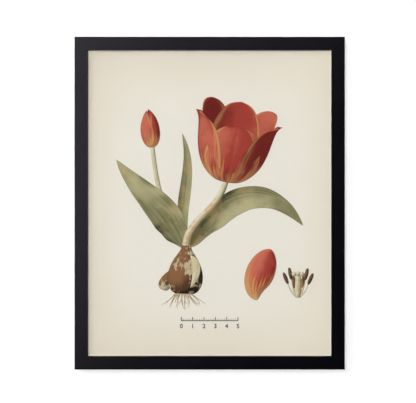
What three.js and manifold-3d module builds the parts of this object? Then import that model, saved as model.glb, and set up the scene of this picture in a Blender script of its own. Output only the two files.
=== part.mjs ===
// A framed print, portrait, to hang flat on a wall by a toothed hanger.
//
// Four mitred lengths of painted wood moulding, joined at the back by V-nails, hold a stack in their
// rabbet: clear glazing, the print on paper, a filler board and a hardboard back. Eight turn
// buttons, each on its own screw, keep the stack in and swing aside to let it out. A toothed strip
// on the top moulding hangs on one wall nail, and two rubber bumpers keep the lower edge off the wall.
//
// Millimetres. +Z is up, the front faces -Y, and the wall is the plane y = 0. The origin is on that
// plane, at the root of the hanger's middle notch, where the wall nail carries the frame.
import * as THREE from "three";
import { mergeVertices } from "three/addons/utils/BufferGeometryUtils.js";
import Module from "manifold-3d";

const wasm = await Module();
wasm.setup();

// The stack, front to back.
const SHEET_WIDTH = 400;
const SHEET_HEIGHT = 500;
const GLAZING_THICKNESS = 2;
const PAPER_THICKNESS = 0.4;
const FILLER_THICKNESS = 5;
const HARDBOARD_THICKNESS = 3;

// The moulding's section: a face, a lip in front of the stack, and a rabbet behind the lip.
const FACE_WIDTH = 21.5;
const LIP_WIDTH = 5.5;
const LIP_DEPTH = 6;
const RABBET_PLAY = 0.5; // each side, between the stack and the rabbet's walls
const RABBET_SEAT = 0.1; // left under the stack, where it stands on the lower moulding
const BACK_RECESS = 0.1; // the hardboard lies this far below the moulding's back
const OUTER_ARRIS = 1.5;
const SIGHT_ARRIS = 0.8;
const BACK_CHAMFER = 0.5;
const ARC_STEPS = 5;
const MITRE_TRIM = 0.05; // taken off each mitred end

// How it hangs.
const STAND_OFF = 3; // moulding's back to the wall
const FRAME_TOP = 11; // the top edge over the hanger's notch

// V-nails, two at each mitre. Each is a thin angle whose apex lies on the mitre.
const V_NAIL_LEG = 7;
const V_NAIL_THICKNESS = 0.6;
const V_NAIL_DEPTH = 7;
const V_NAIL_APEXES = { outer: 4.5, inner: 11.5 }; // apex to the frame's outer edges
const V_NAIL_PLAY = 0.2;

// Turn buttons and their screws.
const BUTTON_REACH = 18; // pivot to the centre of the tip's round
const BUTTON_PIVOT_RADIUS = 6;
const BUTTON_TIP_RADIUS = 4;
const BUTTON_HOLE_RADIUS = 1.9;
const BUTTON_THICKNESS = 1;
const BUTTON_SPACING = { short: 220, long: 280 }; // between the two on a short or a long moulding
const SCREW_SHANK_RADIUS = 1.5;
const SCREW_HEAD_RADIUS = 3.3;
const SCREW_HEAD_HEIGHT = 1.6;
const SCREW_HEAD_RIM = 0.5; // straight, under the dome
const SCREW_DEPTH = 8; // shank below the moulding's back
const SCREW_POINT = 2.5;
const RECESS_LENGTH = 3.6;
const RECESS_WIDTH = 0.8;
const RECESS_DEPTH = 0.9;

// The toothed hanger: a strip bent to stand off the wood between its nailed ends.
const HANGER_LENGTH = 46;
const HANGER_HEIGHT = 9;
const HANGER_THICKNESS = 0.8;
const HANGER_FOOT = 8; // each flat, nailed end
const HANGER_RAMP = 2.5;
const HANGER_WALL_GAP = 0.2;
const TOOTH_PITCH = 2.4;
const TOOTH_DEPTH = 1.6;
const TOOTH_FLAT = 0.2; // between two notches, at the strip's lower edge
const NOTCHES_EACH_SIDE = 5; // of the middle one
const PIN_SHANK_RADIUS = 0.8;
const PIN_HEAD_RADIUS = 2.2;
const PIN_HEAD_HEIGHT = 0.8;
const PIN_HEAD_RIM = 0.2;
const PIN_POINT = 2;
const PIN_DEPTH = 8;

// Play and fineness, for every fixing.
const HOLE_PLAY = 0.2; // round a shank, in wood and in the hanger
const HEAD_PLAY = 0.1; // under a head, and between a turn button and the wood
const OVERSHOOT = 1; // how far a cutting tool runs out of the face that it cuts
const ROUND_SIDES = { shank: 16, head: 24, bumper: 32 };

// Bumpers.
const BUMPER_RADIUS = 5;
const BUMPER_SHOULDER = 1.2;
const BUMPER_SPACING = 380;

// What follows from the above.
const BACK_WIDTH = FACE_WIDTH - LIP_WIDTH; // the moulding's flat back, outside the rabbet
const OUTER_WIDTH = SHEET_WIDTH + 2 * (RABBET_PLAY + BACK_WIDTH);
const OUTER_HEIGHT = SHEET_HEIGHT + 2 * (RABBET_PLAY + BACK_WIDTH);
const STACK_DEPTH = GLAZING_THICKNESS + PAPER_THICKNESS + FILLER_THICKNESS + HARDBOARD_THICKNESS;
const MOULDING_DEPTH = LIP_DEPTH + STACK_DEPTH + BACK_RECESS;
const BACK_Y = -STAND_OFF;
const FRONT_Y = BACK_Y - MOULDING_DEPTH;
const MIDDLE_Z = FRAME_TOP - OUTER_HEIGHT / 2;
const BACK_INSET = BACK_WIDTH / 2; // the back's middle line to the frame's outer edge
const PIN_X = (HANGER_LENGTH - HANGER_FOOT) / 2;
const PIN_Z = HANGER_HEIGHT / 2 - TOOTH_DEPTH;

const BLACK_PAINT = new THREE.MeshStandardMaterial({ color: 0x1f1e22, roughness: 0.45, metalness: 0 });
const CLEAR_SHEET = new THREE.MeshStandardMaterial({
  color: 0xffffff,
  roughness: 0.05,
  metalness: 0,
  transparent: true,
  opacity: 0.12,
});
const PAPER = new THREE.MeshStandardMaterial({ color: 0xe5e1d5, roughness: 0.9, metalness: 0 });
const FILLER_CARD = new THREE.MeshStandardMaterial({ color: 0xc9b08a, roughness: 0.9, metalness: 0 });
const HARDBOARD = new THREE.MeshStandardMaterial({ color: 0x7a5233, roughness: 0.75, metalness: 0 });
const ZINC = new THREE.MeshStandardMaterial({ color: 0xb9bcc0, roughness: 0.35, metalness: 0.9 });
const RUBBER = new THREE.MeshStandardMaterial({ color: 0x2a2a2c, roughness: 0.8, metalness: 0 });

const named = (name, geometry, material) => {
  const mesh = new THREE.Mesh(geometry, material);
  mesh.name = name;
  return mesh;
};

// A closed geometry as a solid that can be cut or joined.
const solidOf = (geometry) => {
  const bare = geometry.index ? geometry.toNonIndexed() : geometry.clone();
  bare.deleteAttribute("normal");
  bare.deleteAttribute("uv");
  const merged = mergeVertices(bare, 1e-4);
  return new wasm.Manifold(
    new wasm.Mesh({
      numProp: 3,
      vertProperties: merged.attributes.position.array,
      triVerts: new Uint32Array(merged.index.array),
    }),
  );
};

// A solid back as a geometry.
const geometryOf = (solid) => {
  const made = solid.getMesh();
  const geometry = new THREE.BufferGeometry();
  geometry.setAttribute("position", new THREE.BufferAttribute(new Float32Array(made.vertProperties), 3));
  geometry.setIndex(new THREE.BufferAttribute(new Uint32Array(made.triVerts), 1));
  geometry.computeVertexNormals();
  return geometry;
};

const cut = (body, ...tools) =>
  geometryOf(tools.reduce((left, tool) => left.subtract(solidOf(tool)), solidOf(body)));

// A box between two corners, each [x, y, z].
const boxBetween = (low, high) =>
  new THREE.BoxGeometry(...high.map((value, i) => value - low[i])).translate(
    ...high.map((value, i) => (value + low[i]) / 2),
  );

// A turned body about the Y axis: profile points are [radius, y], listed from the lower end on the
// axis to the upper end on the axis.
const turned = (profile, sides) =>
  new THREE.LatheGeometry(
    profile.map(([radius, y]) => new THREE.Vector2(radius, y)),
    sides,
  );

// Points on a quarter ellipse about [centreRadius, centreY], from its outermost point up to, but not
// including, its highest.
const quarterRound = (centreRadius, centreY, width, height, steps) =>
  Array.from({ length: steps }, (_, i) => {
    const angle = (i / steps) * (Math.PI / 2);
    return [centreRadius + width * Math.cos(angle), centreY + height * Math.sin(angle)];
  });

// A straight hole from the moulding's back towards the front.
const roundHole = (radius, x, z, depth) => {
  const tool = new THREE.CylinderGeometry(radius, radius, depth + OVERSHOOT, ROUND_SIDES.shank);
  return tool.translate(x, BACK_Y + (OVERSHOOT - depth) / 2, z);
};

// The moulding's section. x runs inwards from the frame's outer edge, y from the front to the back.
const mouldingSection = () => {
  const section = new THREE.Shape();
  section.moveTo(0, MOULDING_DEPTH - BACK_CHAMFER);
  section.lineTo(0, OUTER_ARRIS);
  section.absarc(OUTER_ARRIS, OUTER_ARRIS, OUTER_ARRIS, Math.PI, 1.5 * Math.PI);
  section.lineTo(FACE_WIDTH - SIGHT_ARRIS, 0);
  section.absarc(FACE_WIDTH - SIGHT_ARRIS, SIGHT_ARRIS, SIGHT_ARRIS, 1.5 * Math.PI, 2 * Math.PI);
  section.lineTo(FACE_WIDTH, LIP_DEPTH);
  section.lineTo(BACK_WIDTH, LIP_DEPTH);
  section.lineTo(BACK_WIDTH, MOULDING_DEPTH);
  section.lineTo(BACK_CHAMFER, MOULDING_DEPTH);
  section.closePath();
  return section;
};

// One mitred length, in the frame of its own side: x along it, z outwards with the outer edge at 0.
const moulding = (length, holes) => {
  const body = new THREE.ExtrudeGeometry(mouldingSection(), {
    depth: 1,
    steps: 1,
    bevelEnabled: false,
    curveSegments: ARC_STEPS,
  });
  const at = body.attributes.position;
  for (let i = 0; i < at.count; i += 1) {
    const half = length / 2 - at.getX(i) - MITRE_TRIM; // the ends draw in with the section: a mitre
    at.setZ(i, at.getZ(i) > 0.5 ? half : -half);
  }
  const inwards = new THREE.Vector3(0, 0, -1);
  const backwards = new THREE.Vector3(0, 1, 0);
  const along = new THREE.Vector3(1, 0, 0);
  body.applyMatrix4(new THREE.Matrix4().makeBasis(inwards, backwards, along));
  body.translate(0, FRONT_Y, 0);
  return cut(body, ...vNailSlots(length), ...holes);
};

// Room for one leg of each V-nail, at both ends of a moulding.
const vNailSlots = (length) => {
  const half = V_NAIL_THICKNESS / 2 + V_NAIL_PLAY;
  const slots = [];
  for (const apex of Object.values(V_NAIL_APEXES)) {
    const near = length / 2 - apex + half;
    const far = length / 2 - apex - V_NAIL_LEG - V_NAIL_PLAY;
    const front = BACK_Y - V_NAIL_DEPTH - V_NAIL_PLAY;
    const back = BACK_Y + OVERSHOOT;
    slots.push(boxBetween([far, front, -apex - half], [near, back, -apex + half]));
    slots.push(boxBetween([-near, front, -apex - half], [-far, back, -apex + half]));
  }
  return slots;
};

// A V-nail with its apex at the origin, its legs along -x and -z, and its back at y = 0.
const vNail = () => {
  const half = V_NAIL_THICKNESS / 2;
  const angle = new THREE.Shape();
  angle.moveTo(half, half);
  angle.lineTo(-V_NAIL_LEG, half);
  angle.lineTo(-V_NAIL_LEG, -half);
  angle.lineTo(-half, -half);
  angle.lineTo(-half, -V_NAIL_LEG);
  angle.lineTo(half, -V_NAIL_LEG);
  angle.closePath();
  const nail = new THREE.ExtrudeGeometry(angle, { depth: V_NAIL_DEPTH, bevelEnabled: false });
  return nail.rotateX(Math.PI / 2);
};

// A turn button with its pivot at the origin and its arm along -z: two rounds and their tangents.
const turnButton = () => {
  const lean = Math.asin((BUTTON_PIVOT_RADIUS - BUTTON_TIP_RADIUS) / BUTTON_REACH);
  const plate = new THREE.Shape();
  plate.absarc(0, 0, BUTTON_PIVOT_RADIUS, -lean, Math.PI + lean);
  plate.absarc(0, -BUTTON_REACH, BUTTON_TIP_RADIUS, Math.PI + lean, 2 * Math.PI - lean);
  plate.closePath();
  plate.holes.push(new THREE.Path().absarc(0, 0, BUTTON_HOLE_RADIUS, 0, 2 * Math.PI, true));
  const button = new THREE.ExtrudeGeometry(plate, {
    depth: BUTTON_THICKNESS,
    bevelEnabled: false,
    curveSegments: 12,
  });
  return button.rotateX(Math.PI / 2).translate(0, BUTTON_THICKNESS, 0);
};

// A pan-head screw with a cross recess. y = 0 is the wood's face, and the head is on the +y side.
const screw = () => {
  const seat = HEAD_PLAY + BUTTON_THICKNESS + HEAD_PLAY;
  const top = seat + SCREW_HEAD_HEIGHT;
  const blank = turned(
    [
      [0, -SCREW_DEPTH],
      [SCREW_SHANK_RADIUS, SCREW_POINT - SCREW_DEPTH],
      [SCREW_SHANK_RADIUS, seat],
      [SCREW_HEAD_RADIUS, seat],
      ...quarterRound(0, seat + SCREW_HEAD_RIM, SCREW_HEAD_RADIUS, SCREW_HEAD_HEIGHT - SCREW_HEAD_RIM, 5),
      [0, top],
    ],
    ROUND_SIDES.head,
  );
  const [long, wide] = [RECESS_LENGTH / 2, RECESS_WIDTH / 2];
  return cut(
    blank,
    boxBetween([-long, top - RECESS_DEPTH, -wide], [long, top + OVERSHOOT, wide]),
    boxBetween([-wide, top - RECESS_DEPTH, -long], [wide, top + OVERSHOOT, long]),
  );
};

// A small round-headed nail. y = 0 is the face that its head bears on.
const pin = () =>
  turned(
    [
      [0, -PIN_DEPTH],
      [PIN_SHANK_RADIUS, PIN_POINT - PIN_DEPTH],
      [PIN_SHANK_RADIUS, 0],
      [PIN_HEAD_RADIUS, 0],
      ...quarterRound(0, PIN_HEAD_RIM, PIN_HEAD_RADIUS, PIN_HEAD_HEIGHT - PIN_HEAD_RIM, 4),
      [0, PIN_HEAD_HEIGHT],
    ],
    ROUND_SIDES.shank,
  );

// The hanger: the bent strip's side view and its toothed front view, each extruded, have the strip
// in common. The middle notch's root is at x = 0, z = 0.
const hanger = () => {
  const half = HANGER_LENGTH / 2;
  const [foot, crest] = [BACK_Y, -HANGER_WALL_GAP - HANGER_THICKNESS];
  const rise = half - HANGER_FOOT;
  const bend = new THREE.Shape(
    [
      [-half, foot],
      [-rise, foot],
      [HANGER_RAMP - rise, crest],
      [rise - HANGER_RAMP, crest],
      [rise, foot],
      [half, foot],
      [half, foot + HANGER_THICKNESS],
      [rise, foot + HANGER_THICKNESS],
      [rise - HANGER_RAMP, crest + HANGER_THICKNESS],
      [HANGER_RAMP - rise, crest + HANGER_THICKNESS],
      [-rise, foot + HANGER_THICKNESS],
      [-half, foot + HANGER_THICKNESS],
    ].map(([x, y]) => new THREE.Vector2(x, y)),
  );
  const strip = new THREE.ExtrudeGeometry(bend, { depth: HANGER_HEIGHT, bevelEnabled: false });
  strip.translate(0, 0, -TOOTH_DEPTH);

  const low = -TOOTH_DEPTH;
  const view = new THREE.Shape();
  view.moveTo(-half, low);
  const notch = (TOOTH_PITCH - TOOTH_FLAT) / 2;
  for (let i = -NOTCHES_EACH_SIDE; i <= NOTCHES_EACH_SIDE; i += 1) {
    view.lineTo(i * TOOTH_PITCH - notch, low);
    view.lineTo(i * TOOTH_PITCH, 0);
    view.lineTo(i * TOOTH_PITCH + notch, low);
  }
  view.lineTo(half, low);
  view.lineTo(half, low + HANGER_HEIGHT);
  view.lineTo(-half, low + HANGER_HEIGHT);
  view.closePath();
  for (const x of [-PIN_X, PIN_X]) {
    view.holes.push(new THREE.Path().absarc(x, PIN_Z, PIN_SHANK_RADIUS + HOLE_PLAY, 0, 2 * Math.PI, true));
  }
  const depth = STAND_OFF + 2 * OVERSHOOT;
  const outline = new THREE.ExtrudeGeometry(view, { depth, bevelEnabled: false, curveSegments: 8 });
  outline.rotateX(Math.PI / 2).translate(0, OVERSHOOT, 0);
  return geometryOf(solidOf(strip).intersect(solidOf(outline)));
};

// A bumper: a short cylinder with a rounded shoulder and a flat back, standing on y = 0.
const bumper = () => {
  const [flat, shoulder] = [BUMPER_RADIUS - BUMPER_SHOULDER, STAND_OFF - BUMPER_SHOULDER];
  return turned(
    [
      [0, 0],
      [BUMPER_RADIUS, 0],
      ...quarterRound(flat, shoulder, BUMPER_SHOULDER, BUMPER_SHOULDER, 4),
      [flat, STAND_OFF],
      [0, STAND_OFF],
    ],
    ROUND_SIDES.bumper,
  );
};

const frame = new THREE.Group();

// The four sides. Each is a group turned about Y, with its moulding, two turn buttons and their screws.
const SIDES = [
  { name: "top", turn: 0, length: OUTER_WIDTH, spacing: BUTTON_SPACING.short },
  { name: "right", turn: Math.PI / 2, length: OUTER_HEIGHT, spacing: BUTTON_SPACING.long },
  { name: "bottom", turn: Math.PI, length: OUTER_WIDTH, spacing: BUTTON_SPACING.short },
  { name: "left", turn: -Math.PI / 2, length: OUTER_HEIGHT, spacing: BUTTON_SPACING.long },
];
for (const { name, turn, length, spacing } of SIDES) {
  const side = new THREE.Group();
  const upright = name === "right" || name === "left";
  const out = (upright ? OUTER_WIDTH : OUTER_HEIGHT) / 2;
  side.rotation.y = turn;
  side.position.set(out * Math.sin(turn), 0, MIDDLE_Z + out * Math.cos(turn));
  const pivots = [-spacing / 2, spacing / 2];
  const holes = pivots.map((x) =>
    roundHole(SCREW_SHANK_RADIUS + HOLE_PLAY, x, -BACK_INSET, SCREW_DEPTH + HOLE_PLAY),
  );
  if (name === "top") {
    for (const x of [-PIN_X, PIN_X]) {
      holes.push(roundHole(PIN_SHANK_RADIUS + HOLE_PLAY, x, PIN_Z - FRAME_TOP, PIN_DEPTH + HOLE_PLAY));
    }
  }
  side.add(named(`moulding_${name}`, moulding(length, holes), BLACK_PAINT));
  pivots.forEach((x, i) => {
    const button = named(`turn_button_${name}_${i + 1}`, turnButton(), ZINC);
    button.position.set(x, BACK_Y + HEAD_PLAY, -BACK_INSET);
    const fixing = named(`button_screw_${name}_${i + 1}`, screw(), ZINC);
    fixing.position.set(x, BACK_Y, -BACK_INSET);
    side.add(button, fixing);
  });
  frame.add(side);
}

// The V-nails, mirrored about the frame's middle by quarter turns.
const CORNERS = [
  { name: "top_right", turn: 0, x: 1, z: 1 },
  { name: "bottom_right", turn: Math.PI / 2, x: 1, z: -1 },
  { name: "bottom_left", turn: Math.PI, x: -1, z: -1 },
  { name: "top_left", turn: -Math.PI / 2, x: -1, z: 1 },
];
for (const { name, turn, x, z } of CORNERS) {
  for (const [place, apex] of Object.entries(V_NAIL_APEXES)) {
    const nail = named(`v_nail_${name}_${place}`, vNail(), ZINC);
    nail.rotation.y = turn;
    nail.position.set(x * (OUTER_WIDTH / 2 - apex), BACK_Y, MIDDLE_Z + z * (OUTER_HEIGHT / 2 - apex));
    frame.add(nail);
  }
}

// The stack, resting on the lower moulding's rabbet.
const SHEETS = [
  { name: "glazing", thickness: GLAZING_THICKNESS, material: CLEAR_SHEET },
  { name: "print", thickness: PAPER_THICKNESS, material: PAPER },
  { name: "filler_board", thickness: FILLER_THICKNESS, material: FILLER_CARD },
  { name: "hardboard_back", thickness: HARDBOARD_THICKNESS, material: HARDBOARD },
];
const sheetZ = MIDDLE_Z - RABBET_PLAY + RABBET_SEAT;
let sheetFront = FRONT_Y + LIP_DEPTH;
for (const { name, thickness, material } of SHEETS) {
  const sheet = named(name, new THREE.BoxGeometry(SHEET_WIDTH, thickness, SHEET_HEIGHT), material);
  sheet.position.set(0, sheetFront + thickness / 2, sheetZ);
  sheetFront += thickness;
  frame.add(sheet);
}

// The hanger, its two nails and the bumpers.
frame.add(named("toothed_hanger", hanger(), ZINC));
[-PIN_X, PIN_X].forEach((x, i) => {
  const nail = named(`hanger_nail_${i + 1}`, pin(), ZINC);
  nail.position.set(x, BACK_Y + HANGER_THICKNESS + HEAD_PLAY, PIN_Z);
  frame.add(nail);
});
[-1, 1].forEach((side, i) => {
  const foot = named(`bumper_${i + 1}`, bumper(), RUBBER);
  const z = MIDDLE_Z - OUTER_HEIGHT / 2 + BACK_INSET;
  foot.position.set((side * BUMPER_SPACING) / 2, BACK_Y, z);
  frame.add(foot);
});

export default frame;
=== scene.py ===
"""A framed botanical plate that hangs on a wall: its mouldings, glazing, plate, back and hardware.

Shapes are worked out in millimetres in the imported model's frame, and piece() turns them into metres:
+Z is up, the picture faces -Y and the wall is the plane y = 0. The plate's drawing is laid out about
the middle of the sheet, as (right, up, near).
"""

from __future__ import annotations

import logging
import math
from collections.abc import Callable, Sequence
from dataclasses import dataclass, field
from enum import Enum
from functools import reduce
from typing import ClassVar

import bpy
import numpy as np
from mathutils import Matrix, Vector


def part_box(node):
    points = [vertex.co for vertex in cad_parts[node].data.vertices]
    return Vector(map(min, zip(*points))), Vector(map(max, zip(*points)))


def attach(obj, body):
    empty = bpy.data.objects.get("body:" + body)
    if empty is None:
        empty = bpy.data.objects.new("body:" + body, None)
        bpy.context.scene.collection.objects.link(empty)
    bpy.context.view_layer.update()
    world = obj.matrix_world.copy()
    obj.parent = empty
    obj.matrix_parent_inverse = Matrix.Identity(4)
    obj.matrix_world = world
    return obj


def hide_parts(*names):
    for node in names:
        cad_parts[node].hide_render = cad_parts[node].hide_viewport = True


LOG = logging.getLogger("framed_plate")
MM = 0.001
SHARP_ANGLE = math.radians(32)
HOLD = 0.4
FRAME_BODY = "frame"
Array = np.ndarray
Row = Sequence[float]
Points = Sequence[Row]
Pair = tuple[float, float]
Triple = tuple[float, float, float]
Colour = tuple[float, float, float, float]
WHITE: Colour = (1.0, 1.0, 1.0, 1.0)

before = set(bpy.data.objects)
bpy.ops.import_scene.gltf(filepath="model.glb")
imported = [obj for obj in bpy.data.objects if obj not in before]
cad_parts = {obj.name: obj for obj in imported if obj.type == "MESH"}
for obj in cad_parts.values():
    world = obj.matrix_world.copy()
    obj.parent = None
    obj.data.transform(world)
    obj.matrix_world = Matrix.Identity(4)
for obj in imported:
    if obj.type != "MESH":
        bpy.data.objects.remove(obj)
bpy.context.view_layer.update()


def srgb(red: int, green: int, blue: int) -> Colour:
    """A screen colour of 0 to 255 a channel, as the linear colour that a socket takes."""
    scaled = np.array([red, green, blue]) / 255
    return (*np.where(scaled <= 0.04045, scaled / 12.92, ((scaled + 0.055) / 1.055) ** 2.4).tolist(), 1.0)


def bezier(control: Points, t: Array) -> Array:
    """Points on the Bezier curve of a control polygon.

    Each is the sum of the control points times their weights, C(n, i) t^i (1 - t)^(n - i).

    Args:
        control: The control points, of any dimension.
        t: Places along the curve, 0 to 1.

    Returns:
        One row of coordinates for each place.
    """
    points = np.asarray(control, float)
    last = len(points) - 1
    weights = [math.comb(last, i) * t**i * (1 - t) ** (last - i) for i in range(last + 1)]
    return stacked(*weights) @ points


def spindle(t: Array, rise: float, fall: float) -> Array:
    """t^rise (1 - t)^fall, scaled so that its highest value is 1."""
    peak = rise / (rise + fall)
    return (t / peak) ** rise * ((1 - t) / (1 - peak)) ** fall


def gathered(count: int) -> Array:
    """Numbers from 0 to 1 that crowd at both ends, (1 - cos(pi u)) / 2 for even u."""
    return (1 - np.cos(np.linspace(0, math.pi, count))) / 2


def smooth(value: Array, low: float, high: float) -> Array:
    """0 at low and beyond it, 1 at high and beyond it, and the cubic 3s^2 - 2s^3 between them."""
    s = np.clip((value - low) / (high - low), 0, 1)
    return s * s * (3 - 2 * s)


def unit(vectors: Array) -> Array:
    """The same directions with a length of 1, along the last axis."""
    return vectors / np.maximum(np.linalg.norm(vectors, axis=-1, keepdims=True), 1e-12)


def stacked(*parts: Array) -> Array:
    """Arrays as the coordinates of one, along a new last axis, each repeated to fit the others."""
    return np.stack(np.broadcast_arrays(*parts), axis=-1)


def spine_frame(spine: Points, t: Array) -> tuple[Array, Array, Array]:
    """Where a form's cross-sections stand along a Bezier spine, and which way they face.

    Args:
        spine: The spine's control points, as (right, up, near).
        t: Places along it, 0 to 1.

    Returns:
        For each place, the spine's point, the direction across it in the sheet's plane and the
        direction towards the viewer, both square to the spine.
    """
    centre = bezier(spine, t)
    along = unit(np.gradient(centre, axis=0))
    across = unit(np.cross(along, (0, 0, 1)))
    return centre, across, np.cross(across, along)


@dataclass
class Patch:
    """A closed part of a mesh: points in millimetres, faces of one size or several, and what varies.

    Attributes:
        points: Vertex places, n by 3.
        faces: Arrays of vertex numbers, one row a face, one array for each face size.
        uv: For each array of faces, the corners' places: along the form first, then across it.
        values: Named numbers for each vertex.
        material: Which of the piece's materials it has.
    """

    points: Array
    faces: list[Array]
    uv: list[Array]
    values: dict[str, Array] = field(default_factory=dict)
    material: int = 0

    def outward(self) -> Patch:
        """Turns the patch over if its faces point inwards.

        They do if the signed volume is below 0. Six times that is summed over the tetrahedra that
        the triangles of each face's fan make with the origin.

        Returns:
            The same patch.
        """
        volume = 0.0
        for faces in self.faces:
            corners = self.points[faces]
            volume += np.einsum("ik,ijk->", corners[:, 0], np.cross(corners[:, 1:-1], corners[:, 2:]))
        if volume < 0:
            self.faces = [f[:, ::-1] for f in self.faces]
            self.uv = [c[:, ::-1] for c in self.uv]
        return self


class Wrap(Enum):
    """Which way a grid closes on itself."""

    NONE = (False, False)
    AROUND = (False, True)
    BOTH = (True, True)


def grid(points: Array, wrap: Wrap = Wrap.NONE, uv: Array | None = None) -> Patch:
    """A surface from a grid of points, rows along the form and columns across or round it.

    Args:
        points: rows by columns by 3.
        wrap: Which way the grid closes on itself.
        uv: A place for each point, with one more row or column where the grid closes.

    Returns:
        The patch, with a four-sided face for each cell.
    """
    rows, cols = points.shape[:2]
    wrap_rows, wrap_cols = wrap.value
    cells = stacked(np.arange(rows - 1 + wrap_rows)[:, None], np.arange(cols - 1 + wrap_cols))
    i, j = cells.reshape(-1, 2, 1).swapaxes(0, 1) + np.array([[[0, 1, 1, 0]], [[0, 0, 1, 1]]])
    faces = (i % rows) * cols + j % cols
    if uv is None:
        uv = stacked(np.linspace(0, 1, rows + wrap_rows)[:, None], np.linspace(0, 1, cols + wrap_cols))
    return Patch(points.reshape(-1, 3), [faces], [uv[i, j]])


def tube(points: Array, uv: Array | None = None) -> Patch:
    """A closed body: a grid whose columns go round it, with its first and last rings filled in.

    Args:
        points: rows by columns by 3.
        uv: A place for each point, with one more column.

    Returns:
        A closed patch.
    """
    rows, cols = points.shape[:2]
    body = grid(points, Wrap.AROUND, uv)
    ring = np.arange(cols)
    for end in (ring[None], (rows - 1) * cols + ring[None, ::-1]):
        body.faces.append(end)
        body.uv.append(body.points[end][..., [0, 2]] * MM)
    return body.outward()


def lathe(radius: Array, y: Array, centre: Row) -> Patch:
    """A body about an axis along y, closed by a fan to a pole on the axis at each end.

    At an angle a, a point is radius cos a from the axis in x, and radius sin a in z.

    Args:
        radius: rows by columns, the columns at even angles, and 0 in the first and last rows.
        y: The same.
        centre: The axis's x and z.

    Returns:
        A closed patch.
    """
    rows, cols = radius.shape
    angle = np.linspace(0, 2 * math.pi, cols, endpoint=False)
    points = stacked(centre[0] + radius * np.cos(angle), y, centre[1] + radius * np.sin(angle))
    body = grid(points[1:-1], Wrap.AROUND)
    count, around = (rows - 2) * cols, np.arange(cols)
    after, end = (around + 1) % cols, count - cols
    fans = np.concatenate([stacked(count, around, after), stacked(count + 1, end + after, end + around)])
    body.points = np.concatenate([body.points, points[[0, -1], 0]])
    body.faces.append(fans)
    body.uv.append(np.zeros((*fans.shape, 2)))
    return body.outward()


def slab(front: Array, back: Array, along: Array, values: dict[str, Array]) -> Patch:
    """A thin body between two grids of points, closed round its rim.

    Args:
        front: rows by columns by 3.
        back: The same grid, moved by the thickness.
        along: Each row's place along the form, 0 to 1.
        values: Numbers for each point, which both grids get.

    Returns:
        A closed patch.
    """
    rows, cols = front.shape[:2]
    made = grid(front)
    count = rows * cols
    number = np.arange(count).reshape(rows, cols)
    rim = np.concatenate([number[:-1, 0], number[-1, :-1], number[:0:-1, -1], number[0, :0:-1]])
    after = np.roll(rim, -1)
    uv = np.tile(stacked(along[:, None], np.linspace(0, 1, cols)).reshape(-1, 2), (2, 1))
    faces = [made.faces[0], made.faces[0][:, ::-1] + count, stacked(after, rim, rim + count, after + count)]
    faces = np.concatenate(faces)
    points = np.concatenate([front.reshape(-1, 3), back.reshape(-1, 3)])
    return Patch(points, [faces], [uv[faces]], {k: np.tile(v.ravel(), 2) for k, v in values.items()})


def arc(centre: Row, radius: float, start: float, end: float, steps: int) -> Array:
    """Points on a circular arc: the centre plus the radius times (cos, sin), angles in degrees."""
    angle = np.radians(np.linspace(start, end, steps + 1))
    return np.asarray(centre) + radius * stacked(np.cos(angle), np.sin(angle))


def eased(corners: Points, radii: Row, steps: int) -> Array:
    """A closed outline with its corners rounded.

    An arc of the corner's radius touches both of its edges, and a point stands HOLD radii along each
    edge from the arc, so that the flat beyond it shades flat.

    Args:
        corners: The outline's corners in order.
        radii: Each corner's radius.
        steps: Cells along each arc.

    Returns:
        The outline's points, n by 2.
    """
    at = np.asarray(corners, float)
    radius = np.asarray(radii, float)[:, None]
    before, after = unit(np.roll(at, 1, axis=0) - at), unit(np.roll(at, -1, axis=0) - at)
    half = np.arccos(np.clip(np.sum(before * after, axis=1), -1, 1))[:, None] / 2
    reach = radius / np.tan(half)
    centre = at + unit(before + after) * radius / np.sin(half)
    share = np.linspace(0, 1, steps + 1)[None, :, None]
    first, last = (at + before * reach - centre)[:, None], (at + after * reach - centre)[:, None]
    sweep = (math.pi - 2 * half)[:, None]
    ring = (np.sin((1 - share) * sweep) * first + np.sin(share * sweep) * last) / np.sin(sweep)
    held = [(at + way * (reach + HOLD * radius))[:, None] for way in (before, after)]
    return np.concatenate([held[0], centre[:, None] + ring, held[1]], axis=1).reshape(-1, 2)


def board(low: Row, high: Row, ease: float, corner: float) -> Patch:
    """A flat board with rounded corners and eased edges, its faces towards -y and +y.

    Rings of the rounded outline are stacked from front to back. Those within the ease draw in along
    a quarter circle, and one more lies inside each flat face, so that it shades flat.

    Args:
        low: Its least x, y and z.
        high: Its greatest x, y and z.
        ease: The radius along its edges.
        corner: The radius of its corners.

    Returns:
        A closed patch.
    """
    (x0, y0, z0), (x1, y1, z1) = low, high
    middle = np.array([(x0 + x1) / 2, (z0 + z1) / 2])
    outline = eased([(x0, z0), (x1, z0), (x1, z1), (x0, z1)], [corner] * 4, 5) - middle
    size = np.array([x1 - x0, z1 - z0])
    turn = np.radians(np.linspace(0, 90, 4))
    inner = 1.8
    draw = np.concatenate([[inner], 1 - np.sin(turn), 1 - np.cos(turn), [inner]]) * ease
    depth = np.concatenate([[y0], y0 + (1 - np.cos(turn)) * ease, y1 - (1 - np.sin(turn)) * ease, [y1]])
    rings = middle + outline[None] * (1 - 2 * draw[:, None, None] / size)
    return tube(stacked(rings[..., 0], depth[:, None], rings[..., 1]))


def linked(name: str, data: bpy.types.ID) -> bpy.types.Object:
    """Makes an object and links it to the scene.

    Args:
        name: Its name.
        data: Its mesh, text, light or camera.

    Returns:
        The object.
    """
    made = bpy.data.objects.new(name, data)
    bpy.context.scene.collection.objects.link(made)
    return made


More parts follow.
